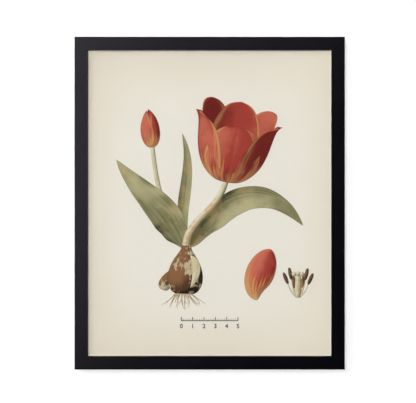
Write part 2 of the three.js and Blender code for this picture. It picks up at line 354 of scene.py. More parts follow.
def piece(name: str, patches: Sequence[Patch], *finishes: Finish) -> bpy.types.Object:
    """Makes a mesh object at the origin from patches, and turns millimetres into metres.

    Args:
        name: The piece's name.
        patches: What it is made of.
        finishes: Its finishes, in the order that the patches number them.

    Returns:
        The object, linked to the scene, smooth except at edges past SHARP_ANGLE.
    """
    starts = np.cumsum([0] + [len(p.points) for p in patches])
    loops, sizes, corners, slots = [], [], [], []
    for patch, start in zip(patches, starts):
        for faces, uv in zip(patch.faces, patch.uv):
            loops.append((faces + start).ravel())
            sizes.append(np.full(len(faces), faces.shape[1]))
            corners.append(uv.reshape(-1, 2))
            slots.append(np.full(len(faces), patch.material))
    loop, size = np.concatenate(loops), np.concatenate(sizes)
    points = np.concatenate([p.points for p in patches]) * MM
    mesh = bpy.data.meshes.new(name)
    mesh.vertices.add(len(points))
    mesh.vertices.foreach_set("co", points.astype(np.float32).ravel())
    mesh.loops.add(len(loop))
    mesh.loops.foreach_set("vertex_index", loop.astype(np.int32))
    mesh.polygons.add(len(size))
    mesh.polygons.foreach_set("loop_start", (np.cumsum(size) - size).astype(np.int32))
    mesh.polygons.foreach_set("material_index", np.concatenate(slots).astype(np.int32))
    mesh.update(calc_edges=True)
    layer = mesh.uv_layers.new(name="UVMap")
    layer.data.foreach_set("uv", np.concatenate(corners).astype(np.float32).ravel())
    for key in sorted({k for p in patches for k in p.values}):
        values = [p.values.get(key, np.zeros(len(p.points))) for p in patches]
        attribute = mesh.attributes.new(key, "FLOAT", "POINT")
        attribute.data.foreach_set("value", np.concatenate(values).astype(np.float32))
    mesh.shade_smooth()
    mesh.set_sharp_from_angle(angle=SHARP_ANGLE)
    for finish in finishes:
        mesh.materials.append(finish.material())
    return linked(name, mesh)


def place(made: bpy.types.Object, slot: str, nodes: Sequence[str] = (), body: str = FRAME_BODY) -> None:
    """Puts a piece on its body and in place of its solids.

    Args:
        made: The piece.
        slot: The slot that its material fills; not used.
        nodes: The solids that it replaces.
        body: The body that it moves with.
    """
    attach(made, body)
    if nodes:
        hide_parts(*nodes)
    LOG.info("%s: %d faces on %s", made.name, len(made.data.polygons), body)


Socket = bpy.types.NodeSocket
Value = float | Row | Socket
Inputs = dict[str | int, Value]
Given = dict[str, Socket]
Relief = tuple[Socket, float, float]


@dataclass
class Graph:
    """Adds nodes to one tree and wires them."""

    tree: bpy.types.NodeTree

    @classmethod
    def cleared(cls, owner: bpy.types.ID) -> Graph:
        """Takes out the nodes that a material, world or light came with.

        Args:
            owner: The material, world or light.

        Returns:
            Its graph.
        """
        owner.use_nodes = True
        owner.node_tree.nodes.clear()
        return cls(owner.node_tree)

    def feed(self, socket: Socket, value: Value) -> None:
        """Links another node's output to an input, or sets the input's own value.

        Args:
            socket: The input.
            value: The output or the value.
        """
        if isinstance(value, Socket):
            self.tree.links.new(value, socket)
        else:
            socket.default_value = value

    def add(self, kind: str, inputs: Inputs | None = None, **settings: object) -> bpy.types.Node:
        """Adds a node.

        Args:
            kind: The node's type, without its leading "ShaderNode".
            inputs: What feeds each input, by its name or number.
            settings: The node's own properties.

        Returns:
            The node.
        """
        node = self.tree.nodes.new(f"ShaderNode{kind}")
        for name, setting in settings.items():
            setattr(node, name, setting)
        for key, value in (inputs or {}).items():
            self.feed(node.inputs[key], value)
        return node

    def out(self, kind: str, inputs: Inputs | None = None, **settings: object) -> Socket:
        """The first output of a node that is added in the same way."""
        return self.add(kind, inputs, **settings).outputs[0]

    def math(self, operation: str, *values: Value) -> Socket:
        """A Math node's result."""
        return self.out("Math", dict(enumerate(values)), operation=operation)

    def times(self, first: Value, second: Value) -> Socket:
        """Two numbers multiplied."""
        return self.math("MULTIPLY", first, second)

    def minus(self, first: Value, second: Value) -> Socket:
        """The first number less the second."""
        return self.math("SUBTRACT", first, second)

    def plus(self, first: Value, *others: Value) -> Socket:
        """Numbers added up."""
        return reduce(lambda total, other: self.math("ADD", total, other), others, first)

    def weighed(self, *terms: tuple[Value, float]) -> Socket:
        """Numbers times their weights, added up."""
        return self.plus(*(self.times(value, weight) for value, weight in terms))

    def swing(self, value: Value, span: float) -> Socket:
        """A noise about 0.5 turned into one about 0, that spans so much."""
        return self.times(self.minus(value, 0.5), span)

    def off(self, value: Value, middle: float) -> Socket:
        """How far a number is from a middle, either way."""
        return self.math("ABSOLUTE", self.minus(value, middle))

    def scaled(self, vector: Value, by: Value) -> Socket:
        """A vector times another, axis by axis."""
        return self.out("VectorMath", {0: vector, 1: by}, operation="MULTIPLY")

    def ramp(self, value: Value, low: Value, high: Value, start: Value = 0.0, end: Value = 1.0) -> Socket:
        """A smooth step from start to end as a value goes from low to high."""
        inputs = {"Value": value, "From Min": low, "From Max": high, "To Min": start, "To Max": end}
        return self.out("MapRange", inputs, interpolation_type="SMOOTHSTEP")

    def mix(self, share: Value, first: Value, second: Value) -> Socket:
        """Two colours mixed, all the first at a share of 0."""
        return self.add("Mix", {0: share, 6: first, 7: second}, data_type="RGBA").outputs[2]

    def noise(self, vector: Value, scale: Value, detail: float, distortion: float = 0.0) -> Socket:
        """Fractal noise, about 0.5."""
        inputs = {"Vector": vector, "Scale": scale, "Detail": detail, "Distortion": distortion}
        return self.out("TexNoise", inputs)

    def value(self, name: str) -> Socket:
        """A number that the mesh holds for each vertex."""
        return self.add("Attribute", attribute_name=name).outputs["Fac"]

    def place(self, kind: str = "Object") -> Socket:
        """Object coordinates or, by name, UV ones or a world's Generated ones."""
        return self.add("TexCoord").outputs[kind]

    def own_grain(self) -> Socket:
        """UV coordinates with the form's own number as the third, so that no two forms match."""
        u, v, _ = self.split(self.place("UV"))
        return self.out("CombineXYZ", {0: u, 1: v, 2: self.value("seed")})

    def split(self, vector: Value) -> list[Socket]:
        """A vector's three numbers."""
        return list(self.add("SeparateXYZ", {0: vector}).outputs)

    def effect(self, effect: Effect, inputs: Inputs) -> Socket:
        """Adds an effect's group and feeds its inputs.

        Args:
            effect: The effect.
            inputs: What feeds each input, by its name.

        Returns:
            The effect's result.
        """
        node = self.tree.nodes.new("ShaderNodeGroup")
        node.node_tree = effect.tree()
        for key, value in inputs.items():
            self.feed(node.inputs[key], value)
        return node.outputs[0]

    def streaks(self, place: Value, along: float, across: float) -> Socket:
        """Long streaks, with so many waves a unit along x and across it."""
        return self.effect(STREAKS, {"Place": place, "Along": along, "Across": across})

    def mottle(self, scale: float) -> Socket:
        """Cloudy patches in Object coordinates, with so many a metre."""
        return self.effect(MOTTLE, {"Place": self.place(), "Scale": scale})


@dataclass(frozen=True)
class Effect:
    """A shader node group with one result, built the first time that a material asks for it.

    Attributes:
        name: The group's name.
        inputs: Each input's name, with F for a number, V for a vector or C for a colour.
        result: F, V or C, for what it puts out.
        build: Adds the nodes and returns the result, given the inputs by name.
    """

    name: str
    inputs: dict[str, str]
    result: str
    build: Callable[[Graph, Given], Socket]

    KINDS: ClassVar[dict[str, str]] = {"F": "Float", "V": "Vector", "C": "Color"}

    def tree(self) -> bpy.types.NodeTree:
        """Builds the group the first time that it is asked for.

        Returns:
            The group's tree.
        """
        known = bpy.data.node_groups.get(self.name)
        if known:
            return known
        tree = bpy.data.node_groups.new(self.name, "ShaderNodeTree")
        sockets = [(name, "INPUT", kind) for name, kind in self.inputs.items()]
        for name, way, kind in [*sockets, ("Result", "OUTPUT", self.result)]:
            tree.interface.new_socket(name, in_out=way, socket_type=f"NodeSocket{self.KINDS[kind]}")
        source = tree.nodes.new("NodeGroupInput")
        sink = tree.nodes.new("NodeGroupOutput")
        made = self.build(Graph(tree), {s.name: s for s in source.outputs if s.name})
        tree.links.new(made, sink.inputs[0])
        return tree


def build_streaks(g: Graph, given: Given) -> Socket:
    """Noise drawn out along x: the place is scaled by Along in x and by Across in y and z."""
    stretch = g.out("CombineXYZ", {0: given["Along"], 1: given["Across"], 2: given["Across"]})
    return g.ramp(g.noise(g.scaled(given["Place"], stretch), 1.0, 4.0, 0.3), 0.3, 0.7)


def build_mottle(g: Graph, given: Given) -> Socket:
    """Cloudy patches: a coarse and a fine noise, two to one, spread to fill 0 to 1.

    Args:
        g: The group's graph.
        given: The group's inputs by name.

    Returns:
        The clouds.
    """
    coarse = g.noise(given["Place"], given["Scale"], 3.0)
    fine = g.noise(given["Place"], g.times(given["Scale"], 6.0), 4.0)
    return g.ramp(g.weighed((coarse, 0.67), (fine, 0.33)), 0.34, 0.66)


def build_tooth(g: Graph, given: Given) -> Socket:
    """The fine unevenness of uncoated paper, a noise of 1100 waves a metre."""
    return g.noise(given["Place"], 1100.0, 4.0)


def build_wash(g: Graph, given: Given) -> Socket:
    """Watercolour over fine line work.

    The tone picks from dark through middle to light, with the pigment's grain in it. Lines run along
    the form where it is dark. Ink darkens the outline, which is where the form turns away.

    Args:
        g: The group's graph.
        given: The group's inputs by name.

    Returns:
        The colour.
    """
    grain = g.swing(g.noise(given["Place"], 900.0, 3.0), 0.16)
    pooled = g.swing(g.noise(given["Place"], 70.0, 2.0), 0.22)
    tone = g.plus(given["Tone"], grain, pooled)
    lines = g.ramp(g.math("SINE", g.times(given["Across"], given["Lines"])), 0.1, 0.9)
    depth = g.ramp(given["Tone"], 0.75, 0.25, 0.0, 0.1)
    tone = g.minus(tone, g.times(lines, depth))
    lower = g.mix(g.ramp(tone, 0.12, 0.5), given["Dark"], given["Middle"])
    body = g.mix(g.ramp(tone, 0.55, 0.92), lower, given["Light"])
    ink = g.math("MAXIMUM", g.ramp(given["Turn"], 0.7, 1.0, 0.0, 0.75), given["Outline"])
    return g.mix(ink, body, given["Ink"])


STREAKS = Effect("streaks", {"Place": "V", "Along": "F", "Across": "F"}, "F", build_streaks)
MOTTLE = Effect("mottle", {"Place": "V", "Scale": "F"}, "F", build_mottle)
TOOTH = Effect("paper tooth", {"Place": "V"}, "F", build_tooth)
WASH_NUMBERS = ("Tone", "Turn", "Across", "Lines", "Outline")
WASH_COLOURS = ("Dark", "Middle", "Light", "Ink")
WASH_INPUTS = {"Place": "V", **dict.fromkeys(WASH_NUMBERS, "F"), **dict.fromkeys(WASH_COLOURS, "C")}
WASH = Effect("watercolour wash", WASH_INPUTS, "C", build_wash)


@dataclass(frozen=True)
class Finish:
    """What every finish has: a name, and a way to build its material once."""

    name: str

    MADE: ClassVar[dict[str, bpy.types.Material]] = {}

    def surface(self, g: Graph) -> Inputs:
        """The Principled shader's inputs, by name."""
        raise NotImplementedError

    def height(self, g: Graph) -> Relief | None:
        """The relief as (height, strength, distance in metres), or None if it has none."""
        return None

    def output(self, g: Graph, shader: bpy.types.Node) -> Socket:
        """What goes to the material's surface."""
        return shader.outputs[0]

    def material(self) -> bpy.types.Material:
        """Builds the material the first time that it is asked for.

        Returns:
            The material.
        """
        if self.name in self.MADE:
            return self.MADE[self.name]
        made = self.MADE[self.name] = bpy.data.materials.new(self.name)
        g = Graph.cleared(made)
        shader = g.add("BsdfPrincipled", self.surface(g))
        relief = self.height(g)
        if relief:
            height, strength, distance = relief
            bump = g.add("Bump", {"Height": height, "Strength": strength, "Distance": distance})
            g.feed(shader.inputs["Normal"], bump.outputs[0])
        g.add("OutputMaterial", {"Surface": self.output(g, shader)})
        return made


@dataclass(frozen=True)
class PaintedWood(Finish):
    """Satin black paint over a fine straight grain, with raw wood on the back and in the rabbet.

    Attributes:
        paint: The paint's colour.
        sheen: What the paint's reflections are tinted with.
        wood_pale: Raw wood between its grain lines.
        wood_dark: Raw wood's grain lines.
        satin: The paint's least roughness.
        dry: Raw wood's roughness.
        grain: The fine grain's waves a metre, along the moulding and across it.
    """

    name: str = "satin_black_moulding"
    paint: Colour = (0.0005, 0.00045, 0.0017, 1.0)
    sheen: Colour = (0.97, 0.88, 1.0, 1.0)
    wood_pale: Colour = srgb(218, 190, 148)
    wood_dark: Colour = srgb(140, 98, 58)
    satin: float = 0.27
    dry: float = 0.72
    grain: Pair = (14.0, 1100.0)

    def _raw(self, g: Graph) -> Socket:
        """1 on raw wood: past the paint's uneven limit, whose distance in millimetres the mesh holds."""
        edge = (g.swing(g.noise(g.place(), scale, 2.0), span) for scale, span in ((45.0, 1.6), (800.0, 0.6)))
        return g.ramp(g.plus(g.value("past_paint"), *edge), -0.3, 0.5)

    def surface(self, g: Graph) -> Inputs:
        """Black with a little grain in its gloss; raw wood with broad bands and fine dark lines.

        Args:
            g: The material's graph.

        Returns:
            The shader's inputs by name.
        """
        raw, along = self._raw(g), g.place("UV")
        grain = g.streaks(along, *self.grain)
        band = g.streaks(along, 1.5, 110.0)
        line = g.ramp(g.streaks(along, 4.0, 420.0), 0.35, 0.95)
        pore = g.ramp(g.streaks(along, 60.0, 1500.0), 0.62, 0.9)
        rings = g.weighed((band, 0.3), (line, 0.42), (grain, 0.16), (pore, 0.22))
        handled = g.mottle(22.0)
        painted = g.plus(self.satin, g.weighed((grain, 0.05), (handled, 0.03)))
        return {
            "Base Color": g.mix(raw, self.paint, g.mix(rings, self.wood_pale, self.wood_dark)),
            "Roughness": g.ramp(raw, 0.0, 1.0, painted, self.dry),
            "IOR": 1.48,
            "Specular Tint": self.sheen,
        }

    def height(self, g: Graph) -> Relief:
        """The grain stands a few hundredths of a millimetre."""
        return g.streaks(g.place("UV"), *self.grain), 0.25, 0.00006


@dataclass(frozen=True)
class ClearSheet(Finish):
    """Clear polished acrylic that lets lamps through to the plate."""

    name: str = "clear_acrylic"

    def surface(self, g: Graph) -> Inputs:
        """A smooth clear sheet."""
        return {"Base Color": WHITE, "Roughness": 0.0, "IOR": 1.49, "Transmission Weight": 1.0}

    def output(self, g: Graph, shader: bpy.types.Node) -> Socket:
        """Shadow rays pass straight through."""
        shadow, through = g.add("LightPath").outputs["Is Shadow Ray"], g.out("BsdfTransparent")
        return g.out("MixShader", {0: shadow, 1: shader.outputs[0], 2: through})


@dataclass(frozen=True)
class Paper(Finish):
    """Uncoated paper, with its tooth, which shows through what is printed on it."""

    def height(self, g: Graph) -> Relief:
        """The paper's tooth."""
        return g.effect(TOOTH, {"Place": g.place()}), 0.2, 0.00005


@dataclass(frozen=True)
class AgedPaper(Paper):
    """Thick uncoated paper, printed with an aged tone that deepens towards its edges, and lighter on its
    right side as painted light.

    Attributes:
        half_width: From the middle to the sight edge, in metres.
        half_height: The same upwards.
        middle_z: The sheet's middle.
        margin: The width of the unprinted strip, lighter than the print, at the right and lower edges, where
            it stands in as a painted highlight.
        blur: How softly the printed tone ends at it.
        centre: Tone in the middle.
        rim: Tone at the left side.
        corner: Tone in the left corners and along the top.
        right_rim: Tone at the right side, printed lighter than at the left as painted light that evens out
            the lamps at the left.
        right_corner: Tone in the right corners, printed lighter than the left ones as painted light in the
            same way.
        bare: Unprinted paper, lighter than the print, which stands in as a painted highlight along the right
            and lower edges.
        fibre: The fibres' colour.
    """

    name: str = "aged_paper"
    half_width: float = 0.195
    half_height: float = 0.245
    middle_z: float = 0.0
    margin: float = 0.0018
    blur: float = 0.0002
    centre: Colour = srgb(230, 227, 216)
    rim: Colour = srgb(226, 218, 203)
    corner: Colour = srgb(221, 213, 195)
    right_rim: Colour = srgb(230, 223, 208)
    right_corner: Colour = srgb(227, 219, 201)
    bare: Colour = srgb(236, 229, 210)
    fibre: Colour = srgb(150, 132, 104)

    def surface(self, g: Graph) -> Inputs:
        """The tone by distance from the middle, with clouds and fibres in it, and a lighter unprinted strip
        at the right and lower edges as a painted highlight.

        The distance is the fifth power of the share of the way across plus the fourth power of the
        share of the way up or down, which keeps the middle even and the rims narrow.

        Args:
            g: The material's graph.

        Returns:
            The shader's inputs by name.
        """
        x, _, z = g.split(g.place())
        across = g.math("DIVIDE", x, self.half_width)
        up = g.math("DIVIDE", g.minus(z, self.middle_z), self.half_height)
        ways = ((across, 5.0), (up, 4.0))
        powers = (g.math("POWER", g.math("ABSOLUTE", way), power) for way, power in ways)
        far = g.plus(*powers, g.swing(g.noise(g.place(), 9.0, 3.0), 0.14))
        # Painted light: the rim and corners are printed lighter towards the right, to even out the lamps at
        # the left.
        painted_light_rightwards = g.ramp(x, 0.0, self.half_width)
        corner = g.mix(painted_light_rightwards, self.corner, self.right_corner)
        tone = g.mix(g.ramp(far, 0.0, 0.8), self.centre, g.mix(painted_light_rightwards, self.rim, self.right_rim))
        tone = g.mix(g.ramp(far, 0.6, 1.7), tone, corner)
        tone = g.mix(g.times(g.mottle(14.0), 0.1), tone, corner)
        tone = g.mix(g.times(g.noise(g.place(), 1400.0, 2.0), 0.05), tone, self.fibre)
        # Painted highlight: lighter unprinted paper along the right and lower edges only, the sides away from
        # the lamps.
        right_edge = self.half_width - self.margin
        low_edge = self.middle_z - self.half_height + self.margin
        right = g.ramp(x, right_edge - self.blur, right_edge)
        low = g.ramp(z, low_edge + self.blur, low_edge)
        return {
            "Base Color": g.mix(g.math("MAXIMUM", right, low), tone, self.bare),
            "Roughness": 0.88,
            "Specular IOR Level": 0.2,
        }


@dataclass(frozen=True)
class Watercolour(Paper):
    """A printed watercolour: three tones of one colour, with fine lines and an inked outline.

    Attributes:
        dark: Its shadow tone.
        middle: Its body tone.
        light: Its lit tone.
        ink: The outline's colour.
        lines: Line work, in lines across the form.
        edge: The outline's share of the form's width.
    """

    dark: Colour = srgb(60, 62, 44)
    middle: Colour = srgb(120, 117, 80)
    light: Colour = srgb(178, 171, 132)
    ink: Colour = srgb(52, 44, 34)
    lines: float = 20.0
    edge: float = 0.02

    def tones(self, g: Graph) -> tuple[Value, Value, Value]:
        """The dark, middle and light tones, which may vary over the form."""
        return self.dark, self.middle, self.light

    def surface(self, g: Graph) -> Inputs:
        """The wash over the form's own tone and outline.

        Args:
            g: The material's graph.

        Returns:
            The shader's inputs by name.
        """
        _, across, _ = g.split(g.place("UV"))
        outline = g.ramp(g.off(across, 0.5), 0.5 - self.edge, 0.5 - 0.3 * self.edge, 0.0, 0.6)
        dark, middle, light = self.tones(g)
        wash = g.effect(
            WASH,
            {
                "Place": g.place(), "Tone": g.value("tone"), "Turn": g.value("turn"), "Across": across,
                "Lines": 2 * math.pi * self.lines, "Outline": outline,
                "Dark": dark, "Middle": middle, "Light": light, "Ink": self.ink,
            },
        )
        return {"Base Color": wash, "Roughness": 0.85, "Specular IOR Level": 0.2}


@dataclass(frozen=True)
class PetalWash(Watercolour):
    """Flamed petals: red feathers up from a tawny foot, over tawny edges.

    Attributes:
        flame: The tawny colour between the red feathers.
        foot: The colour at the petal's foot.
    """

    name: str = "petal_wash"
    dark: Colour = srgb(104, 34, 30)
    middle: Colour = srgb(158, 63, 53)
    light: Colour = srgb(196, 108, 86)
    ink: Colour = srgb(74, 30, 26)
    lines: float = 34.0
    flame: Colour = srgb(205, 152, 98)
    foot: Colour = srgb(192, 182, 126)

    def tones(self, g: Graph) -> tuple[Value, Value, Value]:
        """Each red tone gives way to tawny at the foot and in streaks from the edges.

        Args:
            g: The material's graph.

        Returns:
            The dark, middle and light tones.
        """
        along, across, _ = g.split(g.place("UV"))
        feather = g.streaks(g.own_grain(), 2.2, 17.0)
        fine = g.streaks(g.own_grain(), 5.0, 60.0)
        off = g.times(g.off(across, 0.5), 2.0)
        reach = g.plus(along, g.weighed((feather, 0.3), (fine, 0.12), (off, -0.16)))
        rim = g.ramp(g.plus(off, g.times(feather, 0.3)), 0.9, 1.16, 0.0, 0.75)
        red = g.times(g.ramp(reach, 0.3, 0.62), g.minus(1.0, rim))
        foot = g.ramp(g.plus(along, g.times(fine, 0.05)), 0.02, 0.2)
        pale = g.mix(foot, self.foot, self.flame)
        shares = ((self.dark, 0.45), (self.middle, 0.85), (self.light, 1.0))
        dark, middle, light = (g.mix(red, g.mix(share, tone, pale), tone) for tone, share in shares)
        return dark, middle, light


@dataclass(frozen=True)
class VeinedWash(Watercolour):
    """A wash with long veins and blotches of a second colour, for leaves, stems and bulbs.

    Attributes:
        blotch: The second colour.
        blotch_share: How far the blotches go towards it.
        blotch_from: How high the clouds must be to show as blotches: less is more of them.
        veins: Veins across the form.
    """

    blotch: Colour = srgb(176, 150, 100)
    blotch_share: float = 0.5
    blotch_from: float = 0.55
    veins: float = 26.0

    def tones(self, g: Graph) -> tuple[Value, Value, Value]:
        """Veins lean the middle tone to the light and the dark one; blotches lean all three.

        Args:
            g: The material's graph.

        Returns:
            The dark, middle and light tones.
        """
        vein = g.streaks(g.own_grain(), 2.5, self.veins)
        limit = g.plus(g.mottle(26.0), g.swing(vein, 0.25))
        share = g.ramp(limit, self.blotch_from, self.blotch_from + 0.25, 0.0, self.blotch_share)
        middle = g.mix(vein, g.mix(0.3, self.middle, self.dark), g.mix(0.35, self.middle, self.light))
        dark = g.mix(g.times(share, 0.5), self.dark, self.blotch)
        return dark, g.mix(share, middle, self.blotch), g.mix(share, self.light, self.blotch)


LEAF_WASH = VeinedWash("leaf_wash", blotch_share=0.35, lines=26.0)
STEM_WASH = VeinedWash(
    "stem_wash", srgb(112, 106, 74), srgb(176, 168, 132), srgb(217, 209, 180), lines=9.0, edge=0.06,
    blotch=srgb(196, 150, 98), veins=9.0,
)
BULB_WASH = VeinedWash(
    "bulb_wash", srgb(36, 27, 23), srgb(78, 54, 38), srgb(136, 98, 66), srgb(30, 22, 19), lines=30.0,
    blotch=srgb(198, 184, 150), blotch_share=0.85, blotch_from=0.62, veins=16.0,
)
ROOT_WASH = VeinedWash(
    "root_wash", srgb(92, 74, 54), srgb(150, 130, 98), srgb(194, 178, 142), lines=3.0, edge=0.1, veins=4.0,
)
FLESH_WASH = VeinedWash(
    "bulb_flesh_wash", srgb(140, 126, 92), srgb(196, 186, 150), srgb(222, 214, 186), lines=7.0,
    blotch=srgb(184, 168, 120), veins=7.0,
)
ANTHER_WASH = VeinedWash(
    "anther_wash", srgb(32, 24, 24), srgb(60, 44, 38), srgb(116, 88, 62), lines=5.0, veins=5.0,
)


@dataclass(frozen=True)
class FlatInk(Finish):
    """Printer's ink in one colour, thinner where the paper's tooth is low.

    Attributes:
        ink: The ink where it is thick.
        thin: The ink where the paper shows through.
    """

    name: str = "plate_ink"
    ink: Colour = srgb(66, 58, 50)
    thin: Colour = srgb(128, 116, 98)

    def surface(self, g: Graph) -> Inputs:
        """Ink with worn grain."""
        worn = g.noise(g.place(), 1500.0, 3.0)
        return {"Base Color": g.mix(g.ramp(worn, 0.5, 0.75), self.ink, self.thin), "Roughness": 0.7}


SCALE_INK = FlatInk()
NUMBER_INK = FlatInk("numeral_ink", srgb(78, 70, 62), srgb(120, 110, 96))


@dataclass(frozen=True)
class Card(Finish):
    """Brown corrugated card, with its flutes faint across the liner.

    Attributes:
        pale: The liner's colour.
        dark: Its specks.
        flute: From flute to flute, in metres.
    """

    name: str = "corrugated_card"
    pale: Colour = srgb(202, 176, 136)
    dark: Colour = srgb(158, 126, 86)
    flute: float = 0.007

    def surface(self, g: Graph) -> Inputs:
        """Kraft liner with specks."""
        return {"Base Color": g.mix(g.mottle(160.0), self.pale, self.dark), "Roughness": 0.9}

    def height(self, g: Graph) -> Relief:
        """The flutes, a sine wave across the card."""
        x = g.split(g.place())[0]
        return g.math("SINE", g.times(x, 2 * math.pi / self.flute)), 0.3, 0.0002


@dataclass(frozen=True)
class Hardboard(Finish):
    """Pressed fibreboard: brown and faintly shiny, clouded, with fibre bundles, specks and scuffs.

    Attributes:
        pale: Between the fibres.
        dark: The fibres and clouds, and the painted shade in the net's hollows.
        speck: Bark specks.
        scuffed: Where it has rubbed.
        net: The pitch of the net pressed into it, in metres.
    """

    name: str = "pressed_fibreboard"
    pale: Colour = srgb(156, 114, 76)
    dark: Colour = srgb(92, 60, 38)
    speck: Colour = srgb(58, 38, 26)
    scuffed: Colour = srgb(196, 160, 116)
    net: float = 0.0024

    def _weave(self, g: Graph) -> Socket:
        """The net: the larger of two sine waves, one across and one up.

        Args:
            g: The material's graph.

        Returns:
            Its height, -1 to 1.
        """
        x, _, z = g.split(g.place())
        wave = 2 * math.pi / self.net
        across, up = (g.math("SINE", g.times(way, wave)) for way in (x, z))
        return g.math("MAXIMUM", across, up)

    def _fibres(self, g: Graph) -> Socket:
        """Felted bundles: the darker of two sets of short streaks, one across and one up.

        Args:
            g: The material's graph.

        Returns:
            How dark they are, 0 to 1.
        """
        sets = [
            g.ramp(g.noise(g.scaled(g.place(), stretch), 1.0, 3.0, 1.4), 0.5, 0.72)
            for stretch in ((170.0, 1.0, 760.0), (700.0, 1.0, 210.0))
        ]
        return g.math("MAXIMUM", *sets)

    def surface(self, g: Graph) -> Inputs:
        """Clouds, fibre bundles, specks, pale scuffs, and painted shade in the hollows of the net.

        Args:
            g: The material's graph.

        Returns:
            The shader's inputs by name.
        """
        # Painted shade: the net's hollows are darkened in colour, on top of their relief.
        cloud, patch, shaded_pits = g.mottle(8.0), g.mottle(48.0), g.ramp(self._weave(g), 0.2, -0.6)
        blend = g.weighed((cloud, 0.14), (patch, 0.1), (self._fibres(g), 0.3), (shaded_pits, 0.14))
        board = g.mix(blend, self.pale, self.dark)
        board = g.mix(g.ramp(g.noise(g.place(), 380.0, 2.0), 0.7, 0.76, 0.0, 0.55), board, self.speck)
        scuff = g.noise(g.scaled(g.place(), (34.0, 1.0, 6.0)), 1.0, 5.0, 2.5)
        return {
            "Base Color": g.mix(g.ramp(scuff, 0.62, 0.76, 0.0, 0.26), board, self.scuffed),
            "Roughness": g.ramp(patch, 0.1, 0.9, 0.44, 0.62),
            "Specular IOR Level": 0.5,
        }

    def height(self, g: Graph) -> Relief:
        """The net, with fibres over it."""
        return g.plus(g.times(self._weave(g), 0.3), self._fibres(g)), 0.4, 0.00012


@dataclass(frozen=True)
class ZincPlate(Finish):
    """Bright zinc plate on steel, brushed along x and dulled in clouds and spots.

    Attributes:
        bright: Fresh plating.
        dull: Where it has dulled.
        stain: Its spots.
        brush: The brush marks' waves a metre, along them and across.
    """

    name: str = "bright_zinc"
    bright: Colour = srgb(208, 211, 216)
    dull: Colour = srgb(138, 140, 142)
    stain: Colour = srgb(92, 88, 82)
    brush: Pair = (300.0, 7000.0)

    def surface(self, g: Graph) -> Inputs:
        """Metal whose colour and gloss drift with the plating.

        Args:
            g: The material's graph.

        Returns:
            The shader's inputs by name.
        """
        spot = g.ramp(g.noise(g.place(), 900.0, 2.0), 0.64, 0.76, 0.0, 0.16)
        blend = g.weighed((g.mottle(190.0), 0.4), (g.streaks(g.place(), *self.brush), 0.25))
        return {
            "Base Color": g.mix(spot, g.mix(blend, self.bright, self.dull), self.stain),
            "Metallic": 1.0,
            "Roughness": g.ramp(g.plus(blend, spot), 0.0, 0.8, 0.26, 0.42),
        }

    def height(self, g: Graph) -> Relief:
        """Brush marks."""
        return g.streaks(g.place(), *self.brush), 0.15, 0.00003


@dataclass(frozen=True)
class Rubber(Finish):
    """Dark moulded rubber with a dusty bloom."""

    name: str = "bumper_rubber"
    dark: Colour = srgb(34, 34, 36)
    bloom: Colour = srgb(74, 73, 72)

    def surface(self, g: Graph) -> Inputs:
        """Dust in clouds over black."""
        return {"Base Color": g.mix(g.times(g.mottle(300.0), 0.5), self.dark, self.bloom), "Roughness": 0.7}

    def height(self, g: Graph) -> Relief:
        """A fine moulded texture."""
        return g.noise(g.place(), 2600.0, 2.0), 0.4, 0.00006


@dataclass(frozen=True)
class Fit:
    """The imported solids' sizes in millimetres, which every piece is fitted to.

    Attributes:
        width: The frame's outer width.
        height: Its outer height.
        face: The moulding's width, seen from the front.
        back_width: The moulding's width behind the rabbet.
        lip: The rabbet's distance from the front.
        front: y of the mouldings' front.
        back: y of their back.
        top: z of the frame's top edge.
    """

    width: float
    height: float
    face: float
    back_width: float
    lip: float
    front: float
    back: float
    top: float

    @classmethod
    def read(cls, rabbet_play: float = 0.5) -> Fit:
        """The sizes off the solids.

        Args:
            rabbet_play: The gap between the stack's side edge and the rabbet.

        Returns:
            The sizes.
        """
        top, bottom = solid_box("moulding_top"), solid_box("moulding_bottom")
        right, pane = solid_box("moulding_right"), solid_box("glazing")
        return cls(
            width=2 * right[1][0],
            height=top[1][2] - bottom[0][2],
            face=top[1][2] - top[0][2],
            back_width=right[1][0] - pane[1][0] - rabbet_play,
            lip=pane[0][1] - top[0][1],
            front=top[0][1],
            back=top[1][1],
            top=top[1][2],
        )

    @property
    def middle(self) -> float:
        """z of the frame's middle."""
        return self.top - self.height / 2


def solid_box(node: str) -> tuple[Array, Array]:
    """A solid's least and greatest corners, in millimetres."""
    low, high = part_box(node)
    return np.array(low) / MM, np.array(high) / MM


class Side(Enum):
    """The frame's sides, each with its quarter turns about y."""

    TOP = 0
    RIGHT = 1
    BOTTOM = 2
    LEFT = 3

    @property
    def label(self) -> str:
        """The side's name."""
        return self.name.lower()

    @property
    def upright(self) -> bool:
        """Whether the side stands."""
        return self.value % 2 == 1

    def turned(self, points: Array, fit: Fit) -> Array:
        """Carries points from the side's own frame, x along it and z outwards from its outer edge.

        Args:
            points: Places in that frame.
            fit: The solids' sizes.

        Returns:
            Their places on the frame.
        """
        turn = self.value * math.pi / 2
        sine, cosine = round(math.sin(turn)), round(math.cos(turn))
        out = (fit.width if self.upright else fit.height) / 2
        x, y, z = np.moveaxis(points, -1, 0)
        return stacked(x * cosine + (z + out) * sine, y, fit.middle - x * sine + (z + out) * cosine)


